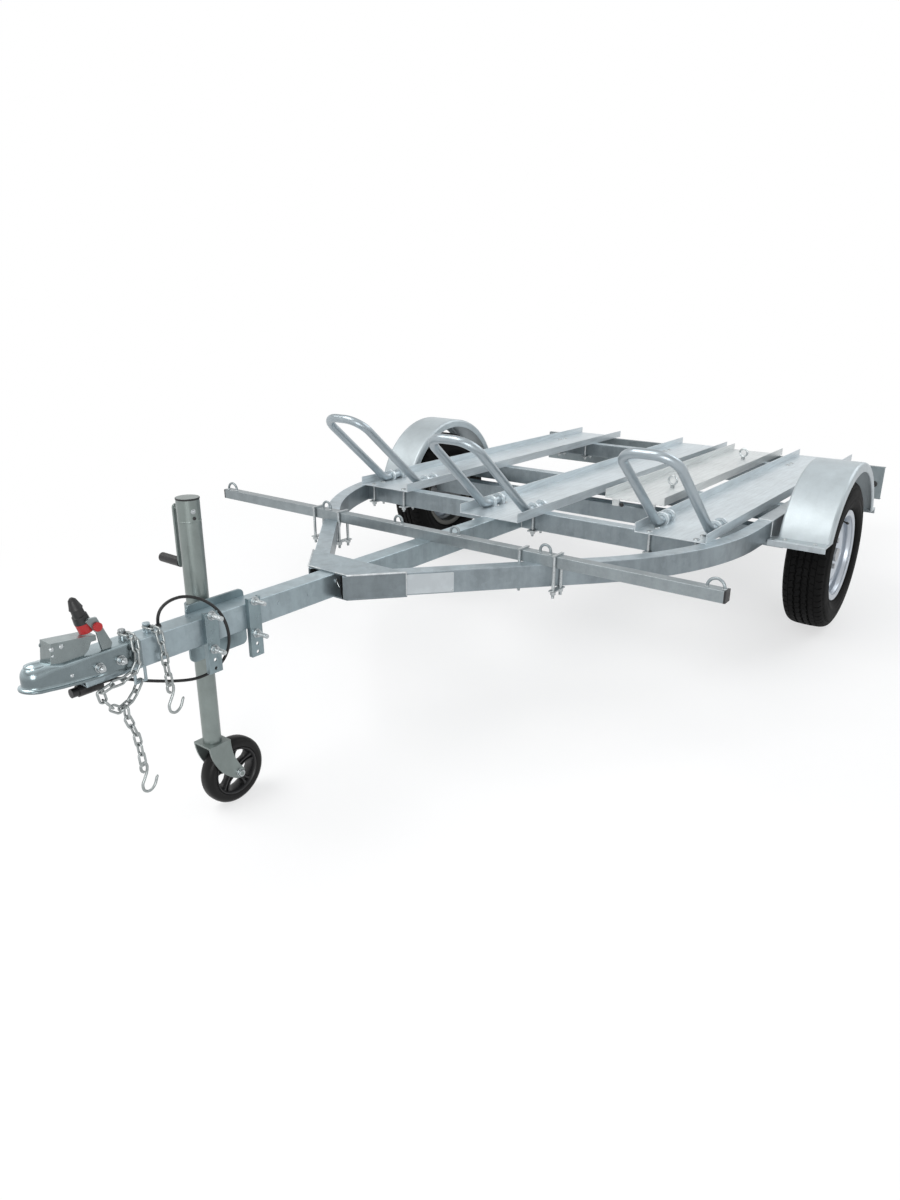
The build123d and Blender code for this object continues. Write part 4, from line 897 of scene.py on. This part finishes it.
# Jockey wheel and clamp: the outer tube's cap, ring, pin and stopper, the wheel, and the nuts
cap = Build()
cap.turned((tube_x, tube_y, 463), (0, 0, 1),
           [(0, 30.2), (1, 30.9), (4.2, 30.9), (4.9, 30.3), (5.0, 27.4), (4.4, 26.6), (4.6, 12), (4.8, 3)], 48)
cap.piece("jockey_cap", cap_plastic, "black_plastic")
tube_marks = Build()
tube_marks.turned((tube_x, tube_y, 405), (0, 0, 1),
                  [(0, 29.9), (1.2, 30.5), (2.8, 30.5), (4, 29.9), (4, 29.5), (0, 29.5)], 48, closed=True)
tube_marks.piece("tube_ring", jockey_zinc, "plated_steel")
tube_radius = 29.6
pin_way = Vector((0.97, -0.24, 0))
pin_foot = Vector((tube_x, tube_y, 435)) + pin_way * tube_radius
pin = Build()
washer(pin, pin_foot, pin_way, 6.5, 2.8, 1.4)
pin.turned(pin_foot + pin_way * 1.2, pin_way, [(0, 3), (2, 3.4), (3.4, 3.4), (4.4, 2)], 16)
pin.piece("crank_pin", bolt_zinc, "plated_steel")
knob_way = Vector((0.98, -0.2, 0))
knob = Build()
knob.turned(Vector((tube_x, tube_y, 417)) + knob_way * tube_radius, knob_way,
            [(0, 4.2), (1.6, 4.6), (3.4, 4.0), (4.2, 2)], 16)
knob.piece("tube_stopper", black_plastic, "black_plastic")


def mirrored(half, between=()):
    """Half a profile, what is between, and the half's mirror image."""
    return [*half, *between, *[(-x, r) for x, r in reversed(half)]]


roller_tyre = Build()
wall = [(20.5, 71.4), (23.4, 73.2), (24.6, 77.5), (24.2, 79), (24.9, 81.5), (24.5, 86.5), (22.6, 91.6),
        (18.6, 96.0), (13, 98.7), (6.5, 99.8)]
roller_tyre.turned(jockey_axle, (1, 0, 0), mirrored(wall, [(0, 100)]), 96, closed=True)
roller_tyre.piece("roller_tyre", jockey_rubber, "jockey_rubber", "jockey_roller", ["jockey_tyre"], 50)

roller_rim = Build()
for half, sides in (([(-22.5, 71.8), (-24.5, 70.6), (-24.5, 68.2), (-20, 64.5), (-8, 62.5)], 72),
                    ([(-25.4, 8), (-25.4, 14.5), (-24, 16.5), (-10, 19)], 48)):
    roller_rim.turned(jockey_axle, (1, 0, 0), mirrored(half), sides, closed=True)
# A spoke: its place out from the axle with its half width and half depth, and its section's corners
spoke_rows = ((15, 12, 15), (24, 9.5, 13), (36, 8.2, 11), (48, 8.6, 12), (58, 11, 15), (64, 16, 18))
spoke_half = ((1, 0.8), (0.8, 1), (0.35, 1), (0.25, 0.45), (-0.25, 0.45), (-0.35, 1), (-0.8, 1), (-1, 0.8))
spoke_section = spoke_half + tuple((-a, -b) for a, b in spoke_half)
for number in range(5):
    turn_to = math.radians(18 + 72 * number)
    outward = Vector((0, math.cos(turn_to), math.sin(turn_to)))
    sideways = Vector((0, -math.sin(turn_to), math.cos(turn_to)))
    roller_rim.loft([[jockey_axle + outward * out_to + sideways * (wide * a) + Vector((deep * b, 0, 0))
                      for a, b in spoke_section] for out_to, wide, deep in spoke_rows])
roller_rim.piece("roller_rim", black_plastic, "black_plastic", "jockey_roller", ["jockey_rim"])

fork_nuts = Build()
for way in (1, -1):
    face = jockey_axle + Vector((way * 36, 0, 0))
    washer(fork_nuts, face, (way, 0, 0), 12, 6.1, 2)
    nut(fork_nuts, face + Vector((way * 2, 0, 0)), (way, 0, 0), 19, 8.6, 6.2)
fork_nuts.piece("fork_nuts", bolt_zinc, "plated_steel", "jockey_fork_body")

clamp_nuts = Build()
for y in (-2258, -2118):
    for z in (188.5, 96):
        washer(clamp_nuts, (44, y, z), (1, 0, 0), 12.5, 6.2, 2)
        thread(clamp_nuts, (54, y, z), (1, 0, 0), 6.4, 31.6, 1.75)
clamp_nuts.piece("clamp_threads", bolt_zinc, "plated_steel")


# Coupler: its shell is round about the ball and square at its rear
ball_y, nose_radius, nose_flare, neck_y, rear_y = -2696, 30, 8, -2655, -2455
coupler_bolt_ys, coupler_bolt_z = (-2565, -2511), 150


def smooth_step(value, low, high):
    t = min(1, max(0, (value - low) / (high - low)))
    return t * t * (3 - 2 * t)


def coupler_profile(y, edge_y):
    """Across and height of the pressed body's half section, from its inner top to its outer top."""
    half = nose_radius + 4 * smooth_step(y, ball_y, neck_y)
    top = 198 - 12.6 * smooth_step(y, ball_y + 6, -2638) - 0.4 * smooth_step(y, -2638, -2560)
    shoulder = 167 - 2 * smooth_step(y, ball_y, -2600)
    power = 2 + 3.4 * smooth_step(y, ball_y + 4, -2640) + 4 * smooth_step(y, -2640, -2570)
    foot = 138 - math.tan(math.radians(5)) * (edge_y - ball_y)
    flare = nose_flare - 7.4 * smooth_step(y, -2610, -2530)
    outer = []
    for k in range(13):
        a = math.pi / 2 * k / 12
        outer.append((half * abs(math.cos(a)) ** (2 / power) if k < 12 else 0,
                      shoulder + (top - shoulder) * math.sin(a) ** (2 / power)))
    wall = half - 4
    return [(0, top - 4.4), (wall * 0.75, top - 4.8), (wall, shoulder + 3), (wall, foot),
            (half + flare - 0.4, foot), (half + flare - 0.3, foot + 2.5), (half + flare - 0.8, foot + 4.8),
            (half + flare * 0.45, foot + 5.6), (half + flare * 0.12, foot + 7.2), (half, foot + 10.5),
            (half, foot + 16)] + outer


coupler = Build()
side_ys = [y for y in (rear_y - 6.2 * k for k in range(39)) if y > ball_y + 1]
rows = [[(x, y, z) for x, z in coupler_profile(y, y)] for y in side_ys]
for k in range(33):
    a = math.pi * k / 32
    edge = ball_y - (nose_radius + nose_flare) * math.sin(a)
    rows.append([(x * math.cos(a), ball_y - x * math.sin(a), z) for x, z in coupler_profile(ball_y, edge)])
rows += [[(-x, y, z) for x, z in coupler_profile(y, y)] for y in reversed(side_ys)]
coupler.grid(rows)
coupler.cap(rows[0])
coupler.cap(rows[-1], True)
coupler.piece("coupler_shell", coupler_coat, "coupler_zinc", replaces=["coupler_body"], sharp=50, merge=True)

coupler_bolts = Build()
for way in (1, -1):
    for y in coupler_bolt_ys:
        nut(coupler_bolts, (way * 35.6, y, coupler_bolt_z), (way, 0, 0), 18, 9.5, 6)
        thread(coupler_bolts, (way * 44, y, coupler_bolt_z), (way, 0, 0), 5.6, 10 if way > 0 else 3, 1.6)
coupler_bolts.turned((-12, -2474, 184.8), (0, 0, 1), [(0, 9), (7.2, 9), (8, 8.2), (8, 4), (14.6, 4)])
nut(coupler_bolts, (-12, -2474, 199.4), (0, 0, 1), 15, 5.8)
coupler_bolts.piece("coupler_nuts", bolt_zinc, "plated_steel")

rivets = Build()
for way in (1, -1):
    for y, z, radius in ((-2661, 223.5, 5.6), (-2639, 223.5, 5.6), (-2661, 208, 3.6)):
        dome(rivets, (way * 21.8, y, z), (way, 0, 0), radius, 2.8)
    dome(rivets, (way * 33.8, -2631, 154), (way, 0, 0), 5, 3)
    for y in coupler_bolt_ys:
        washer(rivets, (way * 34, y, coupler_bolt_z), (way, 0, 0), 12, 6)
rivets.piece("coupler_rivets", bolt_zinc, "plated_steel")


# Data plate, blank, small fittings, and dark plates of painted shade in the rails' front ends
rail_face = rail_foot + rail_out * 50.2
plate_at = 258              # its middle, along the rail
plate = Build()
plate.lid([[rail_face + rail_out * out_to + rail_way * a + Vector((0, 0, z))
            for a, z in rounded_outline(plate_at, frame_z, 76 - inset, 31 - inset, 3)]
           for inset, out_to in ((0, 0), (0, 0.7), (0.4, 1.0))])
plate.piece("data_plate", plate_foil, "bright_zinc")
plate_rivets = Build()
for a in (-70, 70):
    for z in (-25.5, 25.5):
        foot = rail_face + rail_out * 0.9 + rail_way * (plate_at + a) + Vector((0, 0, frame_z + z))
        dome(plate_rivets, foot, rail_out, 3, 1.4)
plate_rivets.piece("plate_rivets", bolt_zinc, "plated_steel")

bumper = Build()
bumper.turned((262, -382, 163), (0, -1, 0), [(0, 9), (3, 9), (5, 7.5), (6, 4)], 20)
bumper.piece("ramp_bumper", black_plastic, "black_plastic")
# Near-black plates over the rails' front ends in the sleeve's mouth: painted shade, a dark sheet where the
# mouth lies in shadow
rail_mouth_shade = Build()
for way in (1, -1):
    rows = []
    for back, inset in ((0.2, 0), (-1.6, 0), (-2.4, 0.8)):
        foot = rail_face - rail_out * 25.2 + rail_way * back
        ring = [(foot + rail_out * a, z) for a, z in rounded_outline(0, 0, 24.4 - inset, 34.4 - inset, 3)]
        rows.append([(way * p.x, p.y, frame_z + z) for p, z in ring])
    rail_mouth_shade.lid(rows)
rail_mouth_shade.piece("rail_mouth_shade_plates", tyre_rubber, "black_plastic")
clip = Build()
nut(clip, (30, -1797, 158), (1, 0, 0), 13, 5)
clip.tube(smooth_line([(35, -1797, 158), (40, -1803, 156), (47, -1806, 150), (54, -1808, 145)]), 1.6, 8)
clip.piece("earth_tag", bolt_zinc, "plated_steel")
grommet = Build()
for x in (922, -922):
    grommet.turned((x, 1093.5, 94), (0, -1, 0), [(0, 15), (2.5, 15), (4, 13.5), (5, 9), (14, 7.5), (15, 5)])
grommet.piece("lamp_grommets", black_plastic, "black_plastic")


# Floor, world and lamps: the floor shades near the trailer and glows white further out
ring_sides, radii = 96, (1, 2, 4, 7, 12, 20, 40, 90)
verts, faces = [(0, 0, 0)], []
for radius in radii:
    for i in range(ring_sides):
        a = 2 * math.pi * i / ring_sides
        verts.append((radius * math.cos(a), radius * math.sin(a), 0))
for i in range(ring_sides):
    k = (i + 1) % ring_sides
    faces.append((0, 1 + i, 1 + k))
    for inner in range(1, ring_sides * (len(radii) - 1), ring_sides):
        outer = inner + ring_sides
        faces.append((inner + i, outer + i, outer + k, inner + k))
floor_mesh = bpy.data.meshes.new("floor")
floor_mesh.from_pydata(verts, [], faces)
floor = placed("floor", floor_mesh)
floor_look = Look("floor_pale")
share = floor_look.background_share()
pale = floor_look.ramp(floor_look.noise(2.5, 3), ((0.3, (0.93, 0.93, 0.935)), (0.7, (0.95, 0.95, 0.955))))
floor_look.paint(floor_look.mix(share, (0.42, 0.42, 0.43), pale))
floor_look.plain("Roughness", 0.9)
floor_look.plain("Specular IOR Level", 0.1)
glow = floor_look.add("Emission", Color=(1, 1, 1, 1), Strength=1.0)
distance = floor_look.through("VectorMath", floor_look.place, operation="LENGTH")
far = floor_look.math("MULTIPLY", floor_look.spread(distance.outputs["Value"], 1.2, 3.2, 0.62, 1.0), share)
blend = floor_look.mix_shaders(far, floor_look.shader, glow)
floor_look.join(blend.outputs[0], floor_look.out.inputs[0])
floor_mesh.materials.append(floor_look.material)

# The camera sees a white world, and gloss sees one that is darker above the horizon
world = bpy.data.worlds.new("studio")
scene.world = world
sky = Tree(world)
soft = sky.add("Background", Color=(0.94, 0.97, 1.0, 1), Strength=0.5)
seen = sky.add("Background", Strength=1.0)
height = sky.part_of(sky.add("TexCoord").outputs["Generated"], 2)
dusk = sky.ramp(height, [(position, (tone, tone, tone)) for position, tone in
                         ((0.0, 1.0), (0.3, 1.0), (0.52, 0.42), (1.0, 1.0))])
sky.join(sky.mix(sky.add("LightPath").outputs["Is Camera Ray"], dusk, (1, 1, 1)), seen.inputs["Color"])
out = sky.add("OutputWorld")
sky.join(sky.mix_shaders(sky.background_share(), soft, seen).outputs[0], out.inputs[0])


def area(name, place, target, size, power, tint):
    data = bpy.data.lights.new(name, "AREA")
    data.shape = "RECTANGLE"
    data.size, data.size_y = size
    data.energy = power
    data.color = tint
    lamp = placed(name, data)
    lamp.location = place
    lamp.rotation_mode = "QUATERNION"
    lamp.rotation_quaternion = (Vector(target) - Vector(place)).to_track_quat("-Z", "Y")


area("key", (-2.2, -3.0, 6.0), (0, 0, 0.3), (5.5, 4.0), 280, (1.0, 0.99, 0.97))
area("front", (3.4, -4.6, 1.8), (0, -0.4, 0.4), (2.5, 2.0), 100, (1.0, 1.0, 1.0))
area("rear", (2.5, 5.0, 4.5), (0, 0.2, 0.3), (5.0, 3.0), 120, (0.95, 0.98, 1.0))

scene.view_settings.view_transform = "Standard"

low, high = cad_box
